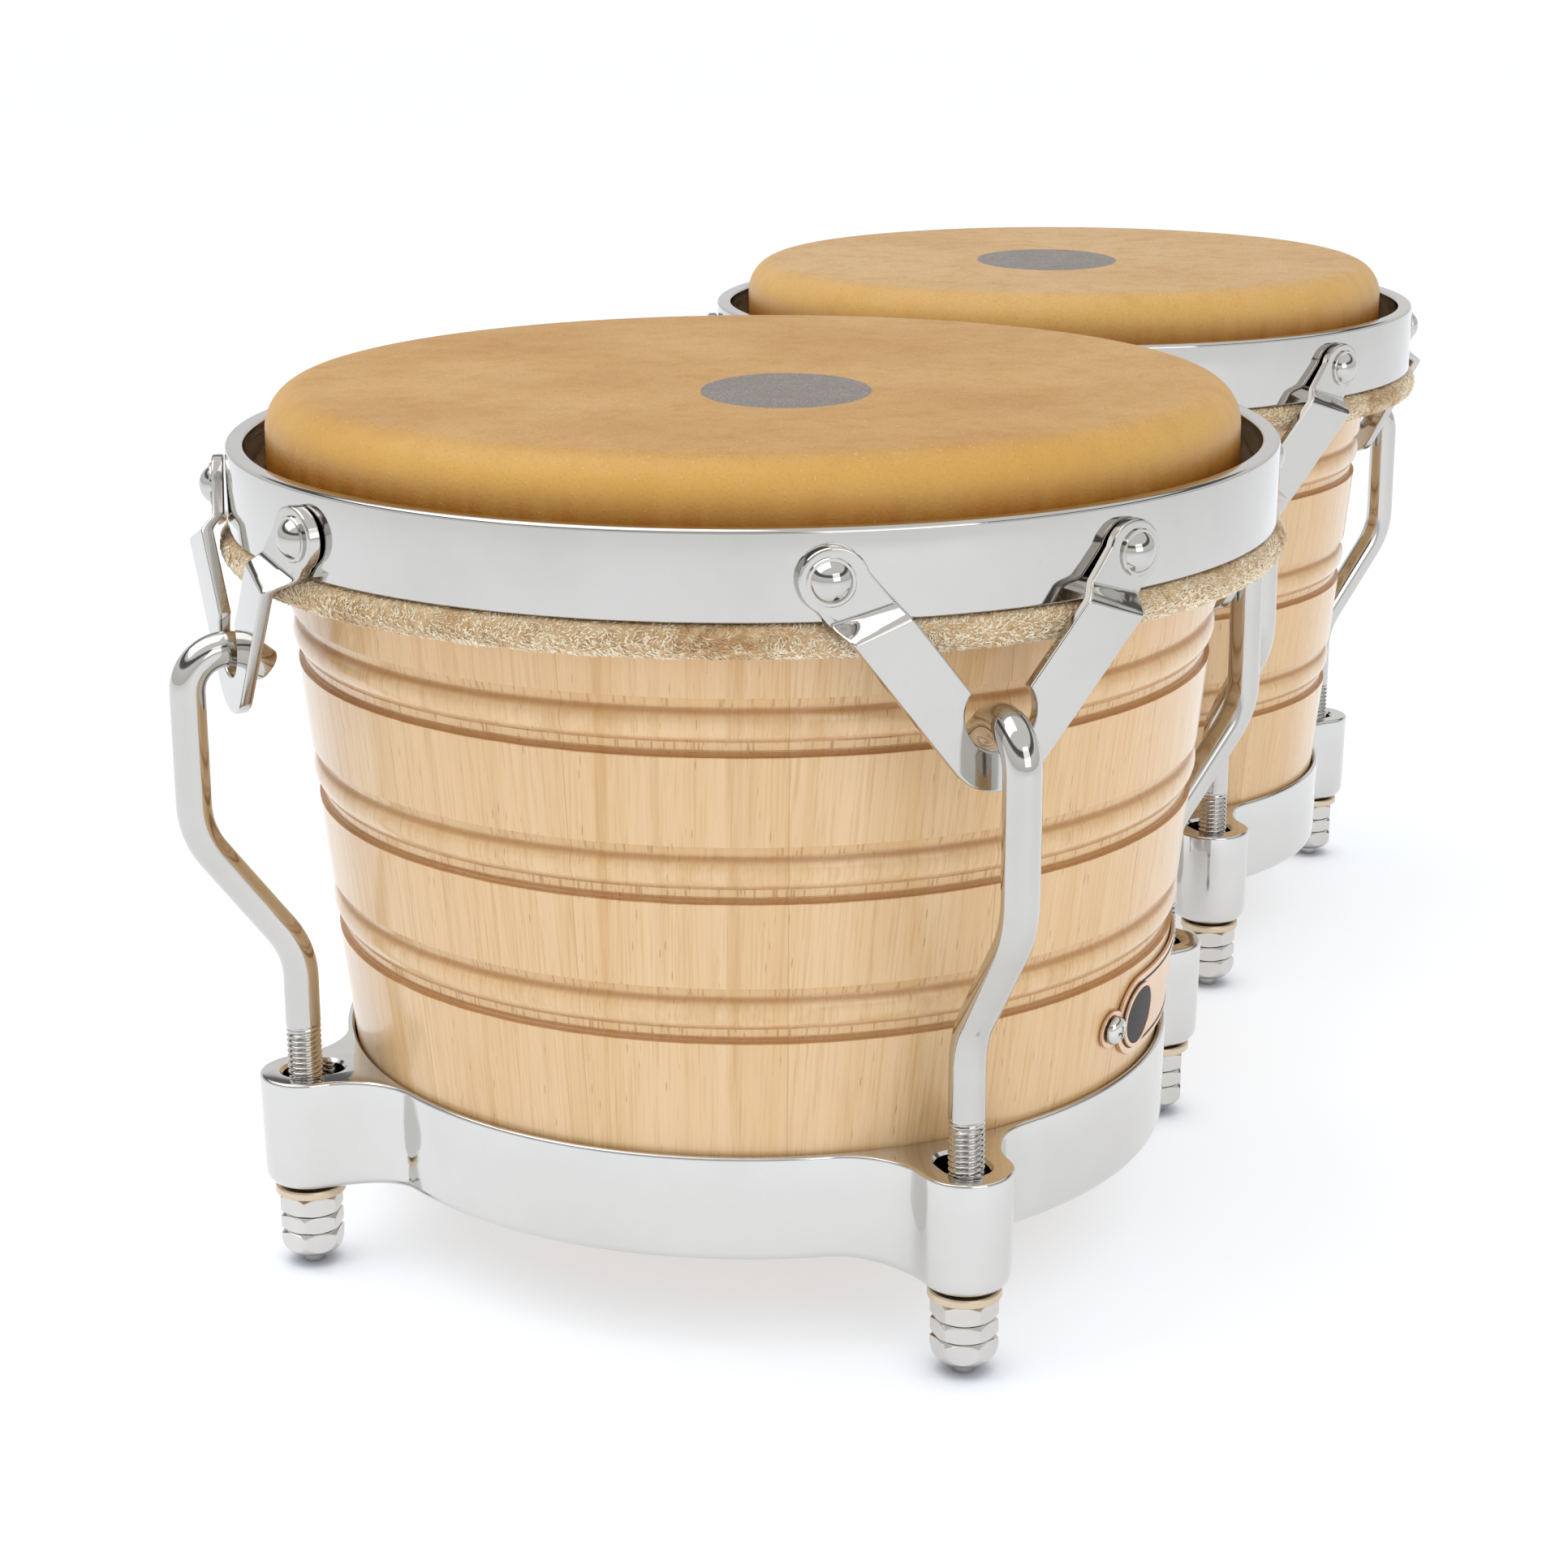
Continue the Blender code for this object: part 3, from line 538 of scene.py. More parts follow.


# lit and shaded copies of one chrome: the darker one is a painted reflection
litRingChrome = metalFinish("castChromeLit", litRingChromeLook, (0.2, 0.2, 1.0))
shadedChrome = metalFinish("shadedUpperChrome", shadedChromeLook, (0.2, 0.2, 1.0))
nickel = metalFinish("plainNickel", nickelLook)
washerSteel = metalFinish("yellowedWasher", washerLook)
boltSteel = metalFinish("zincSteel", steelLook)
copper = metalFinish("rosyCopper", copperLook, (1.0, 1.0, 0.08))


# bottom ring with its four lugs, in millimetres
ringLook = {
    "boss": 10.3, "flare": 18.0, "plainBottom": 22.4, "inset": 0.8, "round": 2.2, "lugRound": 1.8,
    "draft": 0.45, "flange": 10.0, "wall": 6.5, "bevel": 0.6, "innerBevel": 0.8,
    "slot": 5.0, "slotOut": 0.2, "slotIn": 3.8, "mouth": 0.7,
}


def lugOutline(drum):
    # quarter of the ring's plan round one lug: (point, outward normal, how much it is lug)
    ring = drum["ring"] * mm
    lug = drum["lug"]
    boss = ringLook["boss"] * mm
    flare = ringLook["flare"] * mm
    away = ring + flare
    turn = math.acos((away ** 2 + lug ** 2 - (boss + flare) ** 2) / (2 * away * lug))
    centre = Vector((away * math.cos(turn), away * math.sin(turn)))
    contact = math.atan2(centre.y, centre.x - lug)
    half = []
    for i in range(15):
        angle = contact * i / 14
        normal = Vector((math.cos(angle), math.sin(angle)))
        half.append((Vector((lug, 0)) + normal * boss, normal, 1.0))
    for i in range(1, 15):
        share = i / 14
        angle = contact + math.pi + (turn - contact) * share
        out = Vector((math.cos(angle), math.sin(angle)))
        half.append((centre + out * flare, -out, 1 - share * share * (3 - 2 * share)))
    for i in range(1, 15):
        angle = turn + (math.pi / 4 - turn) * i / 14
        normal = Vector((math.cos(angle), math.sin(angle)))
        half.append((normal * ring, normal, 0.0))
    mirrored = [(Vector((p.x, -p.y)), Vector((n.x, -n.y)), w) for p, n, w in half[:0:-1]]
    return mirrored[1:] + half


def makeRing(name, drum):
    look = ringLook
    outline = []
    for angle in lugAngles:
        spin = Matrix.Rotation(angle, 2)
        outline += [(spin @ p, spin @ n, w) for p, n, w in lugOutline(drum)]
    top = drum["ringTop"]
    plainBottom = look["plainBottom"] * mm
    inset = look["inset"] * mm
    innerTop = coneRadius(drum, top) + fit
    innerLow = coneRadius(drum, drum["shellBottom"]) + fit
    lip = drum["shellBottom"] - fit

    def circle(radius, height):
        return [(radius * p.x / p.length, radius * p.y / p.length, height) for p, n, w in outline]

    def outer(offset, height):
        row = []
        for p, n, w in outline:
            place = p - n * offset(w)
            row.append((place.x, place.y, height(w)))
        return row

    def low(w):
        return plainBottom + (drum["lugBottom"] - plainBottom) * w

    def bend(w):
        return (look["round"] + look["lugRound"] * w) * mm

    draft = look["draft"] * mm
    flange = innerLow - look["flange"] * mm
    bevel = look["bevel"] * mm
    innerBevel = look["innerBevel"] * mm
    rows = [circle(flange, lip), circle(innerLow, lip), circle(innerTop, top - bevel),
            circle(innerTop + bevel, top)]
    for i in range(5):
        turn = math.pi / 2 * i / 4
        rows.append(outer(lambda w: inset * (1 - math.sin(turn)),
                          lambda w: top - inset * (1 - math.cos(turn))))
    for share in (0.33, 0.66):
        rows.append(outer(lambda w: draft * share,
                          lambda w: (top - inset) * (1 - share) + (low(w) + bend(w)) * share))
    for i in range(7):
        turn = math.pi / 2 * i / 6
        rows.append(outer(lambda w: draft + bend(w) * (1 - math.cos(turn)),
                          lambda w: low(w) + bend(w) * (1 - math.sin(turn))))
    rows.append([(x, y, low(w)) for (x, y, z), (p, n, w)
                 in zip(circle(drum["ring"] * mm - look["wall"] * mm, 0), outline)])
    rows.append(circle(flange + innerBevel, plainBottom))
    rows.append(circle(flange, plainBottom + innerBevel))
    mesh = meshFrom(*joinRows(rows, "loop"))
    # slots for the rods, with eased mouths
    slot = look["slot"] * mm
    mouth = look["mouth"] * mm
    past = 0.5 * mm
    outEnd = (drum["lug"] + look["slotOut"] * mm, 0)
    inEnd = (drum["lug"] - look["slotIn"] * mm, 0)
    tool = []
    for reach, height in ((mouth + past, top + past), (0, top - mouth),
                          (0, drum["lugBottom"] + mouth), (mouth + past, drum["lugBottom"] - past)):
        row = arcPoints(outEnd, slot + reach, -math.pi / 2, math.pi / 2, 16)
        row += arcPoints(inEnd, slot + reach, math.pi / 2, 1.5 * math.pi, 16)
        tool.append([(x, y, height) for x, y in row])
    tool = meshFrom(*joinRows(tool, "capped"))
    mesh = combined(mesh, [moved(tool, Matrix.Rotation(angle, 4, "Z")) for angle in lugAngles])
    newPiece(name + "RingCast", mesh, litRingChrome, "root", [name + "_bottom_ring"],
             drum["at"], 35)


# skin of the heads: rounding at the edge and thickness in millimetres;
# markTurn is the cosine and sine of the printed mark's turn
skinLook = {
    "corner": 9.0, "thick": 2.0, "roughness": 0.46,
    "mottle": (0.47, 0.23, 0.06), "grit": (0.36, 0.17, 0.05), "fleck": (0.93, 0.76, 0.48),
    # edge is the colour of the painted highlight on the rounded edge, and side is the colour of the
    # painted shade down the side
    "edge": (0.72, 0.41, 0.085), "side": (0.43, 0.125, 0.003),
    "inkDark": (0.11, 0.12, 0.14), "inkPale": (0.36, 0.37, 0.39), "markTurn": (0.93, 0.36),
}


def skinFinish(name, look, drum):
    shade = Shade(name)
    x = shade.axis(shade.place, 0) - drum["x"]
    y = shade.axis(shade.place, 1)
    z = shade.axis(shade.place, 2)
    radius = (x * x + y * y).math("SQRT")
    cloud = shade.noise(shade.place, 22.0, 4.0, 0.6)
    mottle = shade.noise(shade.place, 160.0, 3.0, 0.6)
    grit = shade.noise(shade.place, 1500.0, 2.0, 0.6)
    flecks = shade.noise(shade.place, 1300.0, 1.0).smooth(0.66, 0.74)
    color = shade.mix(cloud.smooth(0.3, 0.75) * 0.8, drum["skinTop"], drum["skinWarm"])
    color = shade.mix(mottle.smooth(0.45, 0.75) * 0.35, color, look["mottle"])
    color = shade.mix(grit.smooth(0.52, 0.70) * 0.45, color, look["grit"])
    color = shade.mix(flecks * 0.42, color, look["fleck"])
    # painted highlight: a lighter, deeper amber band along the rounded edge; painted shade: where the
    # skin turns down over the edge, the side darkens in streaks towards the rim
    corner = drum["head"] - look["corner"] * mm
    edge = radius.smooth(corner - 2 * mm, drum["head"] - 1.0 * mm)
    down = 1 - z.smooth(drum["headTop"] - 17 * mm, drum["headTop"] - 4 * mm)
    streaks = shade.noise(shade.vector(x, y, z * 0.15), 260.0, 3.0)
    color = shade.mix(edge * 0.55, color, look["edge"])
    color = shade.mix(down * (streaks * 0.9 + 0.4), color, look["side"])
    # printed mark: a plain oval of stippled grey ink
    markX, markY, markLong, markShort = drum["print"]
    cosine, sine = look["markTurn"]
    along = (x - markX * mm) * cosine + (y - markY * mm) * sine
    across = (y - markY * mm) * cosine - (x - markX * mm) * sine
    reach = ((along / (markLong * mm)).math("POWER", 2.0)
             + (across / (markShort * mm)).math("POWER", 2.0)).math("SQRT")
    stipple = shade.noise(shade.place, 1300.0, 2.0, 0.7)
    inside = 1 - (reach + (stipple - 0.5) * 0.05).smooth(0.98, 1.0)
    ink = inside * stipple.smooth(0.30, 0.46) * z.smooth(drum["headTop"] - 2 * mm, drum["headTop"])
    gray = shade.mix(stipple.smooth(0.4, 0.75), look["inkDark"], look["inkPale"])
    color = shade.mix(ink * 0.92, color, gray)
    return shade.surface({
        "Base Color": color,
        "Roughness": look["roughness"] + (mottle - 0.5) * 0.2 - down * 0.12,
        "Specular IOR Level": 0.22,
        "Coat Weight": edge * 0.1,
        "Coat Roughness": 0.25,
        "Normal": shade.bump(grit + mottle * 1.5 + flecks * 0.8, 0.2 * mm, 0.55),
    })


def makeHead(name, drum):
    outer = drum["head"]
    thick = skinLook["thick"] * mm
    corner = (outer - skinLook["corner"] * mm, drum["headTop"] - skinLook["corner"] * mm)
    profile = [(0, drum["headTop"])]
    for share in (0.25, 0.5, 0.75, 0.9):
        profile.append((corner[0] * share, drum["headTop"]))
    profile += arcPoints(corner, outer - corner[0], math.pi / 2, 0, 10)
    bottom = drum["skirtBottom"]
    for share in (0.25, 0.5, 0.75, 0.98):
        profile.append((outer, corner[1] + (bottom - corner[1]) * share))
    profile += [(outer - 0.4 * mm, bottom), (outer - thick + 0.4 * mm, bottom),
                (outer - thick, bottom + 0.5 * mm)]
    profile += arcPoints(corner, outer - thick - corner[0], 0, math.pi / 2, 8)
    profile.append((0, drum["headTop"] - thick))
    mesh = turned(profile, 192, "open")
    # the edge was worked by hand, so it is never quite even
    for vert in mesh.vertices:
        flat = Vector((vert.co.x, vert.co.y))
        share = min(max((flat.length - corner[0]) / (outer - corner[0]), 0), 1)
        if vert.co.z > drum["collarTop"] and share > 0:
            wave = waver(Vector((flat.x * 22, flat.y * 22, drum["x"] * 30)))
            vert.co.z -= (0.25 + 0.25 * wave) * mm * share
            flat *= 1 - 0.0022 * share * (1 + wave) / 2
            vert.co.x, vert.co.y = flat
    mesh.transform(drum["at"])
    head = newPiece(name + "HeadSkin", mesh, skinFinish(name + "Skin", skinLook, drum), None,
                    [name + "_head"], None, 50)
    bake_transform(head)


# rawhide wrapped round the flesh hoops; hair length and width in millimetres
hideLook = {
    "straw": (0.90, 0.75, 0.48), "tan": (0.62, 0.43, 0.21), "rust": (0.40, 0.20, 0.05),
    "cream": (0.98, 0.93, 0.78), "length": 1.5, "width": 0.19, "bulge": 3.2,
}


def hideFinish(name, look, light):
    # light runs from 0 on the skin to 1 on the tips of the hair; the lower it is, the more painted
    # shade darkens the skin between the hairs
    shade = Shade(name)
    patch = shade.noise(shade.place, 38.0, 3.0, 0.6).smooth(0.50, 0.66)
    clump = shade.noise(shade.place, 500.0, 2.0, 0.6)
    hair = shade.noise(shade.place, 1500.0, 2.0, 0.7)
    color = shade.mix(clump.smooth(0.35, 0.7), look["straw"], look["tan"])
    color = shade.mix(patch * clump.smooth(0.25, 0.6) * 0.7, color, look["rust"])
    # painted shade: the skin between the hairs is drawn darker, towards rust
    color = shade.mix((1 - light) * 0.7, color, look["rust"])
    color = shade.mix(hair.smooth(0.36, 0.56) * light * (1 - patch * 0.7), color, look["cream"])
    return shade.surface({
        "Base Color": color,
        "Roughness": 0.55 + (hair - 0.5) * 0.3,
        "Sheen Weight": 0.15,
        "Normal": shade.bump(hair + clump, 0.25 * mm, 0.6),
    })


def hairMesh(drum, luck, out, middle, half):
    # short tapering hairs that lie close to the hide in swirls
    points = []
    faces = []
    for i in range(drum["tufts"]):
        turn = luck.uniform(0, math.tau)
        level = luck.uniform(-1.3, 1.45)
        normal = Vector((math.cos(level), 0, math.sin(level)))
        base = Vector((drum["collar"] - out - 0.25 * mm + out * math.cos(level), 0,
                       middle + (half - 0.25 * mm) * math.sin(level)))
        spin = Matrix.Rotation(turn, 3, "Z")
        side = Vector((0, 1, 0))
        down = normal.cross(side)
        swirl = waver(Vector((math.cos(turn), math.sin(turn), level * 0.12)) * 11)
        lie = swirl * 2.4 + luck.uniform(-0.9, 0.9)
        along = side * math.cos(lie) + down * math.sin(lie)
        length = hideLook["length"] * luck.uniform(0.5, 1.1) * mm
        width = hideLook["width"] * luck.uniform(0.7, 1.4) * mm
        tip = base + along * length + normal * luck.uniform(0.25, 0.55) * mm
        across = normal.cross(along)
        start = len(points)
        for k in range(3):
            bend = math.tau * k / 3
            points.append(spin @ (base + (across * math.cos(bend) + normal * math.sin(bend)) * width))
        points.append(spin @ tip)
        faces.append((start + 2, start + 1, start))
        for k in range(3):
            faces.append((start + k, start + (k + 1) % 3, start + 3))
    mesh = bpy.data.meshes.new("hair")
    mesh.from_pydata(points, [], faces)
    return mesh


def makeCollar(name, drum, luck):
    outer = drum["collar"]
    inner = drum["head"] + fit
    top = drum["collarTop"]
    bottom = drum["collarBottom"]
    middle = (top + bottom) / 2
    half = (top - bottom) / 2
    out = hideLook["bulge"] * mm
    bulge = []
    for i in range(13):
        turn = math.pi / 2 - math.pi * i / 12
        bulge.append((outer - out + out * math.cos(turn), middle + half * math.sin(turn)))
    rows = []
    for row in turnedRows(bulge + [(inner, bottom), (inner, top)], 360):
        lumpy = []
        for x, y, z in row:
            flat = math.hypot(x, y)
            swell = 0.0
            if flat > inner + 1.5 * mm:
                place = Vector((x, y, z))
                swell = (waver(place * 260) * 0.2 + waver(place * 60) * 0.22 - 0.3) * mm
            grow = 1 + swell / flat
            lumpy.append((x * grow, y * grow, z))
        rows.append(lumpy)
    # the hide under the hair is drawn at 0.1, so it is mostly in painted shade
    newPiece(name + "HideCollar", meshFrom(*joinRows(rows, "loop")),
             hideFinish(name + "ShadedRawhide", hideLook, 0.1), name + "_hoop",
             [name + "_flesh_hoop"], drum["at"], 60)
    newPiece(name + "CollarHair", hairMesh(drum, luck, out, middle, half),
             hideFinish(name + "HideHair", hideLook, 0.85), name + "_hoop", [],
             drum["at"], 60)


# rims, rolled inward at the top, in millimetres
rimLook = {"wall": 3.0, "edge": 1.0, "roll": 1.2, "rollDepth": 3.6, "foot": 0.5}


def makeRim(name, drum):
    look = rimLook
    outer = drum["rim"]
    inner = outer - look["wall"] * mm
    rolled = inner - look["roll"] * mm
    edge = look["edge"] * mm
    foot = look["foot"] * mm
    top = drum["rimTop"]
    bottom = drum["rimBottom"]
    depth = look["rollDepth"] * mm
    profile = arcPoints((outer - edge, top - edge), edge, 0, math.pi / 2, 6)
    profile += arcPoints((rolled + edge, top - edge), edge, math.pi / 2, math.pi, 6)
    profile += arcPoints((rolled + edge, top - depth + edge), edge, math.pi, 1.3 * math.pi, 4)
    profile += [(inner, top - depth - 0.4 * mm), (inner, bottom + foot), (inner + foot, bottom)]
    profile += arcPoints((outer - foot, bottom + foot), foot, -math.pi / 2, 0, 3)
    newPiece(name + "RimPressed", turned(profile, 216), shadedChrome, name + "_hoop",
             [name + "_rim"], drum["at"], 40)


# claws, in millimetres; heights are above the floor
clawLook = {
    "thick": 2.8, "edge": 0.55, "armHalf": 6.25, "armLean": 38.5, "ear": 6.8, "tip": 131.0,
    "rivetHeight": 175.2, "rivet": 4.9, "rivetRise": 3.0, "rivetBrim": 0.75, "rivetStep": 0.55,
    "pocketHeight": 147.2, "pocket": 7.9, "jogTop": 167.5, "jogDrop": 4.5, "jogSlant": 0.32,
}


def clawOutline(earSide):
    # closed V in (along the rim, height), with a round ear at each top end
    look = clawLook
    lean = math.radians(look["armLean"])
    half = look["armHalf"] * mm
    rivet = look["rivetHeight"] * mm
    pocket = look["pocket"] * mm
    pocketHeight = look["pocketHeight"] * mm
    ear = look["ear"] * mm
    swing = math.acos(half / ear)
    apex = rivet - (earSide + half / math.cos(lean)) / math.tan(lean)
    tip = (look["tip"] * mm - apex) / (1 / math.sin(lean) - 1)
    inner = rivet - (earSide - half / math.cos(lean)) / math.tan(lean)
    drop = pocketHeight - inner
    along = (math.sqrt(pocket ** 2 - (drop * math.sin(lean)) ** 2) + drop * math.cos(lean))
    mouth = math.atan2(inner + along * math.cos(lean) - pocketHeight, along * math.sin(lean))
    side = arcPoints((0, look["tip"] * mm + tip), tip, -math.pi / 2, -lean, 8)
    side += arcPoints((earSide, rivet), ear, -lean - swing, math.pi - lean + swing, 28)
    side += arcPoints((0, pocketHeight), pocket, mouth, -math.pi / 2, 14)
    return side + [(-x, y) for x, y in side[-2:0:-1]]


def clawPlate(drum):
    look = clawLook
    angle = math.radians(drum["rivetTurn"])
    seat = drum["rim"] + fit
    earSide = seat * math.sin(angle)
    thick = look["thick"] * mm
    mesh, work = flatPlate([clawOutline(earSide)], thick, look["edge"] * mm, 2)
    slant = look["jogSlant"]
    cuts = 12
    for side in (-1, 1):
        normal = Vector((side * slant, 1, 0)).normalized()
        for i in range(cuts + 1):
            level = (look["jogTop"] - look["jogDrop"] * i / cuts) * mm + slant * earSide
            near = [v for v in work.verts if v.co.x * side > 0.5 * mm]
            faces = {face for v in near for face in v.link_faces}
            edges = {line for v in near for line in v.link_edges}
            bmesh.ops.bisect_plane(work, geom=near + list(edges) + list(faces), dist=0.001 * mm,
                                   plane_co=(0, level, 0), plane_no=normal)
    for vert in work.verts:
        side, height, depth = vert.co.x, vert.co.y, vert.co.z + thick / 2
        onEar = seat * math.cos(angle) - (abs(side) - earSide) * math.tan(angle)
        slanted = height - slant * (earSide - abs(side))
        share = min(max((look["jogTop"] * mm - slanted) / (look["jogDrop"] * mm), 0.0), 1.0)
        share = share * share * (3 - 2 * share)
        vert.co = (onEar + (drum["plate"] - onEar) * share + depth, side, height)
    finishPlate(mesh, work)
    # rivets: a thin brim under a dome
    wide = look["rivet"] * mm
    rise = look["rivetRise"] * mm
    dome = wide - look["rivetBrim"] * mm
    step = look["rivetStep"] * mm
    ball = (dome ** 2 + (rise - step) ** 2) / (2 * (rise - step))
    reach = math.asin(dome / ball)
    profile = [(0, -1 * mm), (wide, -1 * mm), (wide, step - 0.2 * mm), (wide - 0.2 * mm, step)]
    profile += [(r, z) for z, r in arcPoints((rise - ball, 0), ball, reach, 0, 10)]
    rivet = turned(profile, 36, "open")
    meshes = [mesh]
    for turn in (-angle, angle):
        out = Vector((math.cos(turn), math.sin(turn), 0))
        place = out * (seat + thick) + Vector((0, 0, look["rivetHeight"] * mm))
        meshes.append(moved(rivet, aimed(place, out)))
    return joined(meshes)


# tension rods, in millimetres; heights are above the floor
rodLook = {
    "radius": 3.95, "tip": 2.5, "tipEnd": 8.2, "taper": 1.0,
    "bendLow": 75.0, "bendHigh": 105.0, "bend": 20.0,
    "hookHeight": 136.75, "hookRadius": 8.7, "hookTurn": 130.0, "hookEnd": 4.5,
    "threadTop": 58.0, "pitch": 1.25, "threadDepth": 0.62,
}


def roundedPath(corners, radius, count):
    path = [Vector(corners[0])]
    for before, here, after in zip(corners, corners[1:], corners[2:]):
        here = Vector(here)
        wayIn = (Vector(before) - here).normalized()
        wayOut = (Vector(after) - here).normalized()
        half = wayIn.angle(wayOut) / 2
        centre = here + (wayIn + wayOut).normalized() * (radius / math.sin(half))
        start = here + wayIn * (radius / math.tan(half)) - centre
        end = here + wayOut * (radius / math.tan(half)) - centre
        for i in range(count + 1):
            path.append(centre + start.lerp(end, i / count).normalized() * radius)
    return path + [Vector(corners[-1])]


def rodMesh(drum):
    look = rodLook
    low = drum["lug"]
    high = drum["hook"]
    radius = look["radius"] * mm
    count = 24
    rows = []
    # threaded end: the crest climbs one pitch in each turn
    pitch = look["pitch"] * mm
    threadTop = look["threadTop"] * mm
    steps = int(threadTop / pitch * 8)
    for i in range(steps + 1):
        height = 0.25 * mm + (threadTop - 0.25 * mm) * i / steps
        row = []
        for k in range(count):
            turn = math.tau * k / count
            wave = (1 + math.cos(math.tau * (height / pitch) - turn)) / 2
            fade = min(1.0, (threadTop - height) / (3 * mm))
            size = radius - look["threadDepth"] * mm * (1 - wave ** 0.8) * fade
            climb = max(0.0, height - look["tipEnd"] * mm) / (look["taper"] * mm)
            size = min(size, (look["tip"] + (look["radius"] - look["tip"]) * climb) * mm)
            row.append((low + size * math.cos(turn), size * math.sin(turn), height))
        rows.append(row)
    first = [(low + (x - low) * 0.8, y * 0.8, 0.0) for x, y, z in rows[0]]
    rows.insert(0, first)
    path = roundedPath([(low, threadTop), (low, look["bendLow"] * mm),
                        (high, look["bendHigh"] * mm), (high, look["hookHeight"] * mm - 1 * mm)],
                       look["bend"] * mm, 9)
    centre = (high - look["hookRadius"] * mm, look["hookHeight"] * mm)
    hook = arcPoints(centre, look["hookRadius"] * mm, 0, math.radians(look["hookTurn"]), 20)
    path += [Vector(p) for p in hook]
    end = math.radians(look["hookTurn"])
    away = Vector((-math.sin(end), math.cos(end)))
    last = path[-1]
    path += [last + away * (look["hookEnd"] - 0.7) * mm, last + away * look["hookEnd"] * mm]
    for i in range(1, len(path)):
        after = path[min(i + 1, len(path) - 1)]
        along = (after - path[i - 1]).normalized()
        size = radius * (0.86 if i == len(path) - 1 else 1.0)
        row = []
        for k in range(count):
            turn = math.tau * k / count
            place = path[i] + Vector((along.y, -along.x)) * size * math.cos(turn)
            row.append((place.x, size * math.sin(turn), place.y))
        rows.append(row)
    return meshFrom(*joinRows(rows, "capped"))


# nuts and washers, in millimetres: split and seam are the heights where one nut meets the next
nutLook = {
    "flats": 12.7, "hole": 4.3, "split": 12.5, "seam": 8.35, "gap": 0.1, "edge": 0.2,
    "dome": 4.7, "domeLow": 2.2, "mouth": 3.4, "proud": 0.05, "faceCut": 0.25, "cutSlope": 0.6,
}
washerShape = {"outer": 8.0, "soft": 0.45}


def hexagonBar(flats, bottom, top):
    corner = flats / math.sqrt(3)
    rows = [circleRow(corner, height, 6) for height in (bottom, top)]
    return meshFrom(*joinRows(rows, "capped"))


def nutMesh(bottom, top, domed=False):
    # hexagon whose corners are turned off at both ends, or domed at its lower end
    flats = nutLook["flats"] * mm
    corner = flats / math.sqrt(3) + nutLook["proud"] * mm
    face = flats / 2 - nutLook["faceCut"] * mm
    slope = (corner - face) * nutLook["cutSlope"]
    profile = [(0, top), (face, top), (corner, top - slope)]
    if domed:
        # a quarter of an oval, from the corners in to the mouth the rod's tip shows in
        mouth = nutLook["mouth"] * mm
        dome = nutLook["dome"] * mm
        for i in range(11):
            turn = math.pi / 2 * i / 10
            profile.append((mouth + (corner - mouth) * math.cos(turn),
                            bottom + dome * (1 - math.sin(turn))))
    else:
        profile += [(corner, bottom + slope), (face, bottom)]
    profile.append((0, bottom))
    bar = hexagonBar(flats, bottom - 1 * mm, top + 1 * mm)
    mesh = combined(bar, [turned(profile, 60, "open")], "INTERSECT")
    hole = nutLook["hole"] * mm
    if domed:
        # only the rod's narrow tip comes through
        hole = rodLook["tip"] * mm + 0.4 * mm
        bore = turned([(0, bottom - 1 * mm), (hole, bottom - 1 * mm), (hole, bottom + 0.8 * mm),
                       (nutLook["hole"] * mm, bottom + 1.3 * mm),
                       (nutLook["hole"] * mm, top + 1 * mm), (0, top + 1 * mm)], 32, "open")
    else:
        bore = turned([(0, bottom - 1 * mm), (hole + 0.9 * mm, bottom - 0.4 * mm),
                       (hole, bottom + 0.5 * mm), (hole, top - 0.5 * mm),
                       (hole + 0.9 * mm, top + 0.4 * mm), (0, top + 1 * mm)], 32, "open")
    return eased(combined(mesh, [bore]), nutLook["edge"] * mm)


def washerMesh(drum):
    low = drum["washerBottom"]
    top = drum["washerTop"]
    outer = washerShape["outer"] * mm
    hole = nutLook["hole"] * mm
    soft = washerShape["soft"] * mm
    profile = arcPoints((outer - soft, top - soft), soft, math.pi / 2, 0, 4)
    profile += arcPoints((outer - soft, low + soft), soft, 0, -math.pi / 2, 4)
    profile += [(hole, low), (hole, top)]
    return turned(profile, 48)


def makeHardware(name, drum):
    claw = clawPlate(drum)
    rod = rodMesh(drum)
    washer = washerMesh(drum)
    split = nutLook["split"] * mm
    seam = nutLook["seam"] * mm
    gap = nutLook["gap"] * mm
    nuts = joined([nutMesh(split, drum["nutTop"]), nutMesh(seam, split - gap)])
    domed = nutMesh(nutLook["domeLow"] * mm, seam - gap, True)
    for number, angle in enumerate(lugAngles, 1):
        atLug = drum["at"] @ Matrix.Rotation(angle, 4, "Z")
        atRod = atLug @ Matrix.Translation((drum["lug"], 0, 0))
        end = "_" + str(number)
        hoop = name + "_hoop"
        turner = name + "_nut" + end
        newPiece(name + "ClawPlate" + end, claw.copy(), shadedChrome, hoop,
                 [name + "_claw" + end], atLug, 35, True)
        newPiece(name + "HookedRod" + end, rod.copy(), shadedChrome, hoop,
                 [name + "_tension_rod" + end], atLug, 45)
        newPiece(name + "LugWasher" + end, washer.copy(), washerSteel, "root",
                 [name + "_lug_washer" + end], atRod, 40)
        newPiece(name + "NutPair" + end, nuts.copy(), nickel, turner,
                 [name + "_tuning_nuts" + end], atRod, 30, True)
        newPiece(name + "CapNut" + end, domed.copy(), nickel, turner,
                 [name + "_domed_nut" + end], atRod, 30, True)


luck = random.Random(11)
for name, drum in drums.items():
    makeShell(name, drum)
    makeRing(name, drum)
    makeHead(name, drum)
    makeCollar(name, drum, luck)
    makeRim(name, drum)
    makeHardware(name, drum)
    print(name, "drum made")


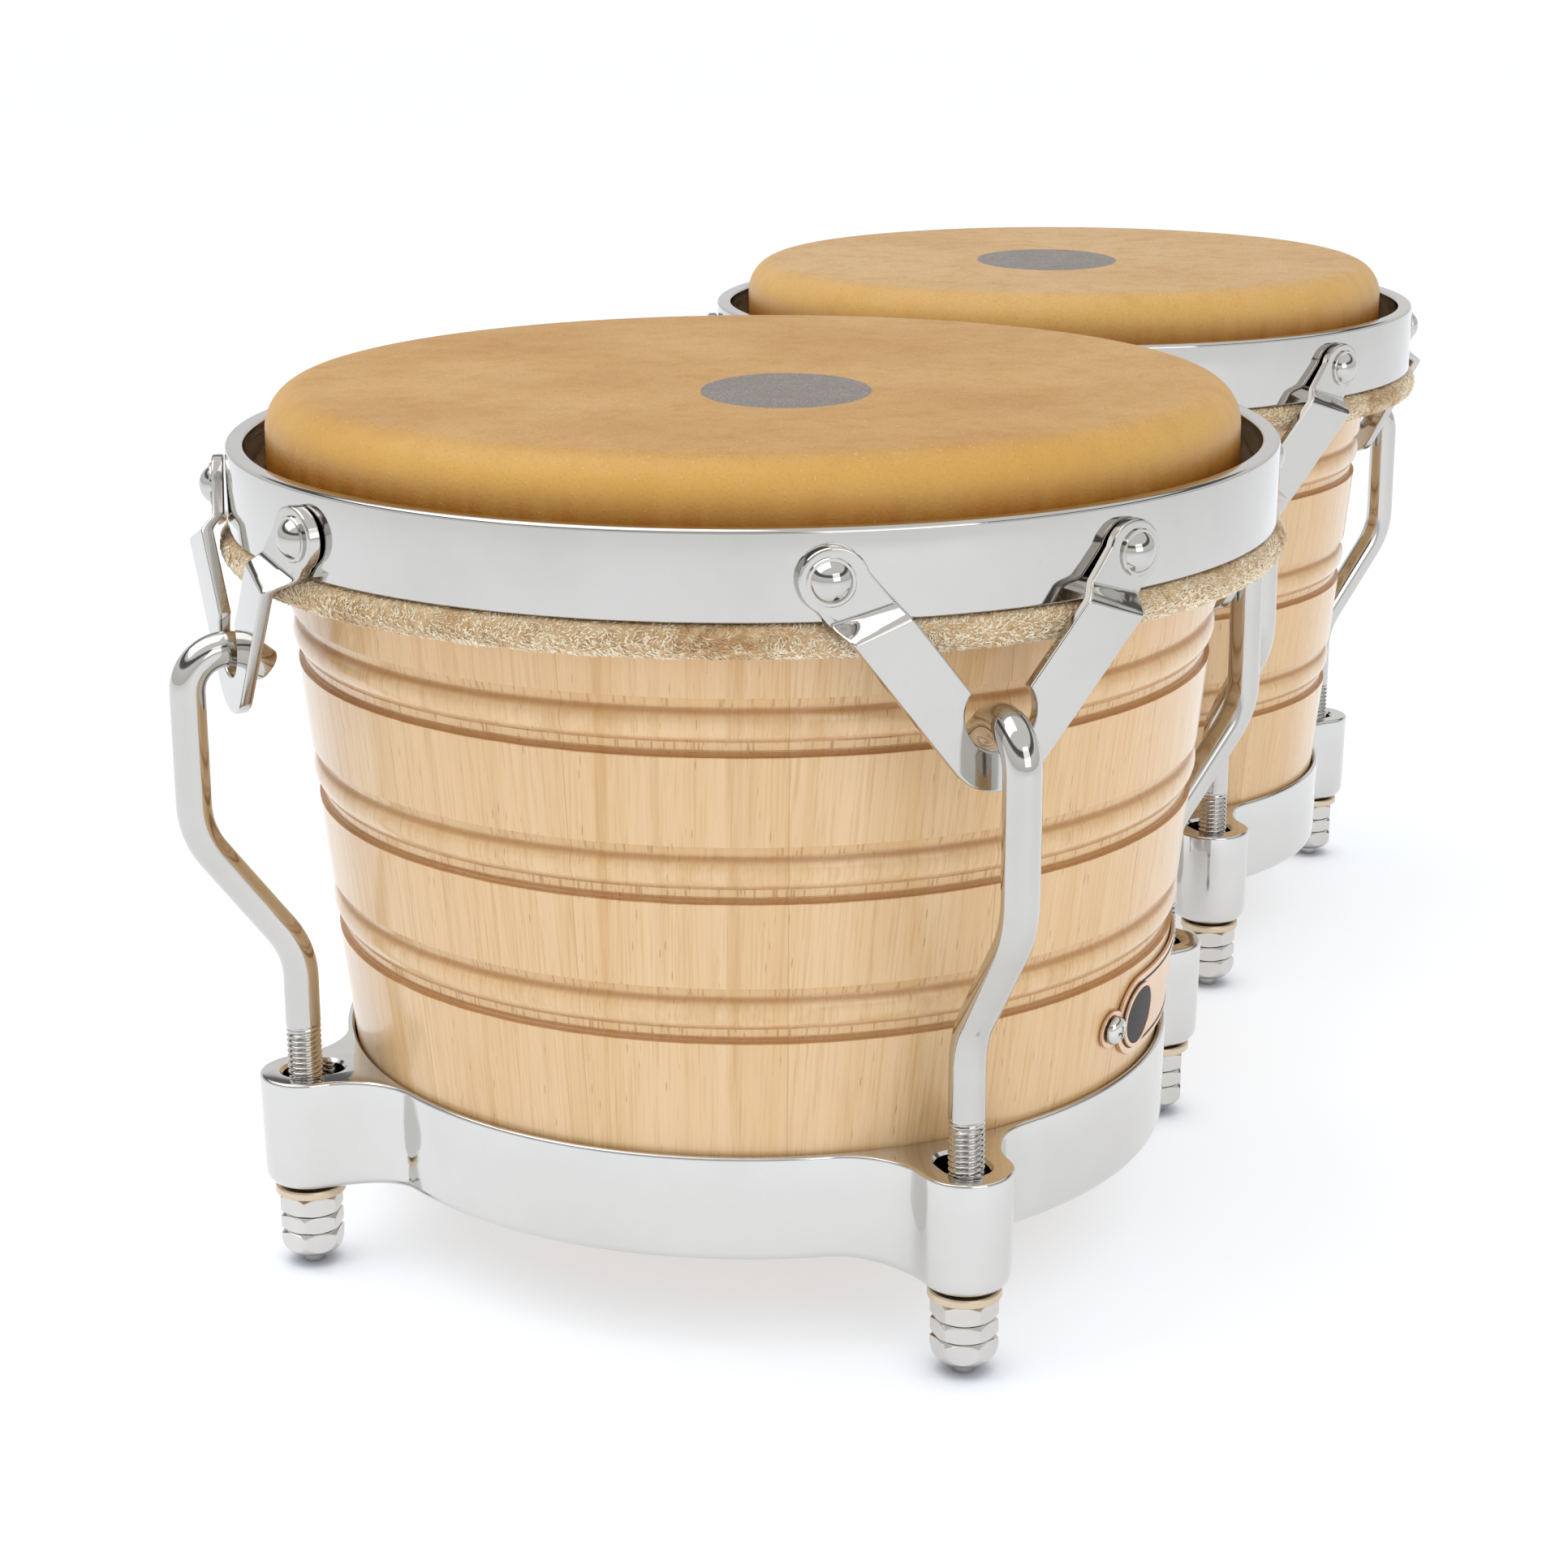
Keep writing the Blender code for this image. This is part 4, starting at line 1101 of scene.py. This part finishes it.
# badge on the large drum, in millimetres, turned round the drum from its right side in degrees
badgeLook = {
    "turn": -85.0, "height": 60.0, "half": 30.5, "end": 9.4, "tab": 33.0, "tabRadius": 4.4,
    "thick": 0.8, "edge": 0.22, "hole": 1.8, "border": 1.5, "borderWidth": 0.5,
    "borderThick": 0.12, "borderEdge": 0.02, "disc": 7.6, "discThick": 0.6, "discEdge": 0.2,
    "bezelWidth": 1.0, "bezelThick": 0.8, "bezelEdge": 0.25,
}
enamelLook = {"body": (0.035, 0.03, 0.03), "dust": (0.25, 0.22, 0.2), "roughness": 0.42}
# outline of a screw, from the middle of its head to the end of its shank (radius, height), and
# its cross recess (height, reach, half width), in millimetres
screwProfile = [
    (0, 2.1), (1.2, 2.02), (2.2, 1.7), (2.9, 1.15), (3.25, 0.5), (3.3, 0.0), (1.4, 0.0),
    (1.4, -6), (0, -6),
]
screwRecess = [(0.9, 0.9, 0.25), (2.6, 2.0, 0.45)]


def badgeOutline(shrink, tabs=True):
    look = badgeLook
    end = (look["half"] - look["end"]) * mm
    radius = (look["end"] - shrink) * mm
    if not tabs:
        half = arcPoints((end, 0), radius, -math.pi / 2, math.pi / 2, 32)
        return half + [(-x, -y) for x, y in half]
    tab = look["tabRadius"] * mm
    apart = look["tab"] * mm - end
    swing = math.acos((radius ** 2 + apart ** 2 - tab ** 2) / (2 * radius * apart))
    reach = math.pi - math.acos((tab ** 2 + apart ** 2 - radius ** 2) / (2 * tab * apart))
    half = arcPoints((end, 0), radius, -math.pi / 2, -swing, 10)
    half += arcPoints((look["tab"] * mm, 0), tab, -reach, reach, 20)[1:-1]
    half += arcPoints((end, 0), radius, swing, math.pi / 2, 10)
    return half + [(-x, -y) for x, y in half]


def wrappedPlate(outlines, thick, edge, drum, depth):
    # flat plate with eased edges, bent round the cone with its back at a depth off the wood
    mesh, work = flatPlate(outlines, thick, edge, 1)
    low = min(vert.co.x for vert in work.verts)
    high = max(vert.co.x for vert in work.verts)
    cuts = int((high - low) / (1.5 * mm))
    for i in range(1, cuts):
        bmesh.ops.bisect_plane(work, geom=work.verts[:] + work.edges[:] + work.faces[:],
                               dist=0.001 * mm, plane_co=(low + (high - low) * i / cuts, 0, 0),
                               plane_no=(1, 0, 0))
    for vert in work.verts:
        height = badgeLook["height"] * mm + vert.co.y
        radius = coneRadius(drum, height) + depth + vert.co.z + thick / 2
        turn = (math.radians(badgeLook["turn"])
                + vert.co.x / coneRadius(drum, badgeLook["height"] * mm))
        vert.co = (radius * math.cos(turn), radius * math.sin(turn), height)
    return finishPlate(mesh, work)


def enamelFinish(name, look):
    shade = Shade(name)
    cloud = shade.noise(shade.place, 300.0, 3.0)
    dust = shade.noise(shade.place, 2500.0, 1.0).smooth(0.66, 0.74)
    body = shade.mix(cloud * 0.5, look["body"], [value * 1.8 for value in look["body"]])
    return shade.surface({
        "Base Color": shade.mix(dust * 0.4, body, look["dust"]),
        "Roughness": look["roughness"] + cloud * 0.12 + dust * 0.2,
        "Specular IOR Level": 0.2,
        "Normal": shade.bump(cloud + dust, 0.02 * mm, 0.4),
    })


def screwMesh():
    # pan head with a cross recess, and its shank
    profile = [(radius * mm, height * mm) for radius, height in screwProfile]
    tools = []
    for turn in (0, math.pi / 2):
        arm = []
        for height, reach, half in screwRecess:
            corners = ((-reach, -half), (reach, -half), (reach, half), (-reach, half))
            arm.append([(x * mm, y * mm, height * mm) for x, y in corners])
        tools.append(moved(meshFrom(*joinRows(arm, "capped")), Matrix.Rotation(turn, 4, "Z")))
    return combined(turned(profile, 40, "open"), tools)


def makeBadge(drum):
    look = badgeLook
    thick = look["thick"] * mm
    holes = [arcPoints((side * look["tab"] * mm, 0), look["hole"] * mm, 0, math.tau * 23 / 24, 23)
             for side in (-1, 1)]
    plate = wrappedPlate([badgeOutline(0.0)] + holes, thick, look["edge"] * mm, drum, fit)
    newPiece("badgePlate", plate, copper, "root", ["badge_plate"], drum["at"], 40,
             True)
    enamel = enamelFinish("darkEnamel", enamelLook)
    line = [badgeOutline(look["border"], False),
            badgeOutline(look["border"] + look["borderWidth"], False)[::-1]]
    borderEdge = look["borderEdge"] * mm
    border = wrappedPlate(line, look["borderThick"] * mm, borderEdge, drum,
                          fit + thick - borderEdge)
    newPiece("badgeBorderLine", border, enamel, "root", [], drum["at"], 40, True)
    middle = -(look["half"] - look["end"]) * mm
    # the disc reaches a little way in under its bezel
    disc = arcPoints((middle, 0), (look["disc"] - 0.9) * mm, 0, math.tau * 63 / 64, 63)
    plaque = wrappedPlate([disc], look["discThick"] * mm, look["discEdge"] * mm, drum, fit + thick)
    newPiece("badgeDisc", plaque, enamel, "root", ["badge_medallion"], drum["at"],
             40, True)
    ring = [arcPoints((middle, 0), radius * mm, 0, math.tau * 63 / 64, 63)
            for radius in (look["disc"], look["disc"] - look["bezelWidth"])]
    bezel = wrappedPlate(ring, look["bezelThick"] * mm, look["bezelEdge"] * mm, drum,
                         fit + thick)
    newPiece("badgeBezel", bezel, copper, "root", [], drum["at"], 40, True)
    slope = (drum["shell"] - drum["shellLow"] * mm) / (coneTop - drum["ringTop"])
    screw = screwMesh()
    for number, side in enumerate((-1, 1), 1):
        middleRadius = coneRadius(drum, look["height"] * mm)
        turn = math.radians(look["turn"]) + side * look["tab"] * mm / middleRadius
        radius = middleRadius + thick + 2.4 * fit
        out = (math.cos(turn), math.sin(turn), -slope)
        place = (radius * math.cos(turn), radius * math.sin(turn), look["height"] * mm)
        newPiece("badgeScrew_" + str(number), screw.copy(), nickel, "root",
                 ["badge_screw_" + str(number)], drum["at"] @ aimed(place, out), 40, True)


makeBadge(drums["large"])
print("badge made")


# the centre block and its bolts keep the CAD shapes and get real finishes
blockLook = {"pale": (0.60, 0.40, 0.21), "dark": (0.44, 0.26, 0.12), "pore": (0.20, 0.10, 0.04)}


def blockFinish(name, look):
    shade = Shade(name)
    # the grain runs from drum to drum
    grain = shade.scaled(shade.place, 0.05, 1.0, 1.0)
    bands = shade.noise(grain, 220.0, 3.0, 0.6)
    fine = shade.noise(grain, 1500.0, 2.0, 0.6)
    pores = shade.noise(shade.scaled(shade.place, 0.12, 1.0, 1.0), 2200.0, 1.0).smooth(0.64, 0.70)
    color = shade.mix(bands.smooth(0.35, 0.7), look["pale"], look["dark"])
    color = shade.mix(fine * 0.3, color, look["dark"])
    color = shade.mix(pores * 0.6, color, look["pore"])
    return shade.surface({
        "Base Color": color,
        "Roughness": 0.42 + fine * 0.15,
        "Coat Weight": 0.3,
        "Coat Roughness": 0.2,
        "Normal": shade.bump(fine - pores, 0.06 * mm, 0.5),
    })


def refinish(node, material):
    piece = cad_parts[node]
    piece.data.materials.clear()
    piece.data.materials.append(material)


refinish("centre_block", blockFinish("blockWood", blockLook))
for name in drums:
    refinish(name + "_bridge_bolt", boltSteel)
    refinish(name + "_bridge_washer", boltSteel)
print("centre block finished")


# floor, light and camera
studioLook = {
    "floor": 0.56, "floorSize": 40.0, "glow": 0.60, "contact": 16.0,
    "openGlow": (0.96, 0.985, 1.0), "contactGlow": (0.05, 0.055, 0.07),
    "air": 0.86, "softbox": 7.0, "fill": 2.5,
    "place": (-0.77249, -0.26522, 0.30402), "forward": (0.89468, 0.35111, -0.27617),
    "right": (0.36435, -0.93126, -0.00361), "lens": 72.0,
}


def makeFloor():
    look = studioLook
    size = look["floorSize"]
    mesh = bpy.data.meshes.new("floor")
    mesh.from_pydata([(-size, -size, 0), (size, -size, 0), (size, size, 0), (-size, size, 0)], [],
                     [(0, 1, 2, 3)])
    shade = Shade("paleFloor")
    tone = look["floor"]
    cloud = shade.noise(shade.place, 3.0, 2.0)
    # the floor's own glow dies away where a foot stands close
    near = shade.node("AmbientOcclusion", {"samples": 12},
                      {"Distance": look["contact"] * mm}, "AO").smooth(0.25, 0.95)
    pale = (tone, tone + 0.025, tone + 0.07)
    dim = (tone - 0.02, tone + 0.005, tone + 0.05)
    mesh.materials.append(shade.surface({
        "Base Color": shade.mix(cloud * 0.3, pale, dim),
        "Roughness": 0.6,
        "Specular IOR Level": 0.2,
        "Emission Color": shade.mix(near, look["contactGlow"], look["openGlow"]),
        "Emission Strength": look["glow"],
    }))
    shown("studioFloor", mesh)


def makeAir():
    world = bpy.data.worlds.new("studioAir")
    bpy.context.scene.world = world
    world.use_nodes = True
    tree = world.node_tree
    back = tree.nodes["Background"]
    place = tree.nodes.new("ShaderNodeTexCoord")
    split = tree.nodes.new("ShaderNodeSeparateXYZ")
    ramp = tree.nodes.new("ShaderNodeValToRGB")
    tree.links.new(place.outputs["Generated"], split.inputs[0])
    tree.links.new(split.outputs["Z"], ramp.inputs[0])
    tree.links.new(ramp.outputs[0], back.inputs["Color"])
    ramp.color_ramp.elements[0].position = 0.0
    ramp.color_ramp.elements[1].position = 1.0
    stops = ((0.0, 0.8), (0.36, 1.0), (0.42, 0.18), (0.56, 0.12), (0.62, 1.0), (1.0, 1.0))
    while len(ramp.color_ramp.elements) < len(stops):
        ramp.color_ramp.elements.new(0.5)
    for element, (position, tone) in zip(ramp.color_ramp.elements, stops):
        element.position = position
        element.color = (tone, tone, tone, 1)
    back.inputs["Strength"].default_value = studioLook["air"]
    # the backdrop itself is plain white
    white = tree.nodes.new("ShaderNodeBackground")
    path = tree.nodes.new("ShaderNodeLightPath")
    choose = tree.nodes.new("ShaderNodeMixShader")
    tree.links.new(path.outputs["Is Camera Ray"], choose.inputs[0])
    tree.links.new(back.outputs[0], choose.inputs[1])
    tree.links.new(white.outputs[0], choose.inputs[2])
    tree.links.new(choose.outputs[0], tree.nodes["World Output"].inputs["Surface"])
    white.inputs["Color"].default_value = (1, 1, 1, 1)


def softbox(name, place, target, size, power):
    data = bpy.data.lights.new(name, "AREA")
    data.shape = "RECTANGLE"
    data.size, data.size_y = size
    data.energy = power
    lamp = bpy.data.objects.new(name, data)
    bpy.context.scene.collection.objects.link(lamp)
    direction = Vector(target) - Vector(place)
    lamp.matrix_world = (Matrix.Translation(place)
                         @ direction.to_track_quat("-Z", "Y").to_matrix().to_4x4())


def makeCamera():
    forward = Vector(studioLook["forward"]).normalized()
    right = Vector(studioLook["right"]).normalized()
    up = right.cross(forward)
    turn = Matrix((right, up, -forward)).transposed().to_4x4()
    data = bpy.data.cameras.new("camera")
    data.lens = studioLook["lens"]
    data.sensor_width = 36.0
    data.clip_start = 0.01
    camera = bpy.data.objects.new("camera", data)
    bpy.context.scene.collection.objects.link(camera)
    camera.matrix_world = Matrix.Translation(studioLook["place"]) @ turn
    bpy.context.scene.camera = camera


makeFloor()
makeAir()
softbox("topSoftbox", (-0.3, 0.5, 1.3), (0, 0, 0.1), (1.2, 1.2), studioLook["softbox"])
softbox("sideSoftbox", (-0.9, -1.0, 0.7), (0, 0, 0.1), (0.8, 0.8), studioLook["fill"])
makeCamera()
bpy.context.scene.view_settings.view_transform = "Standard"
print("studio ready")
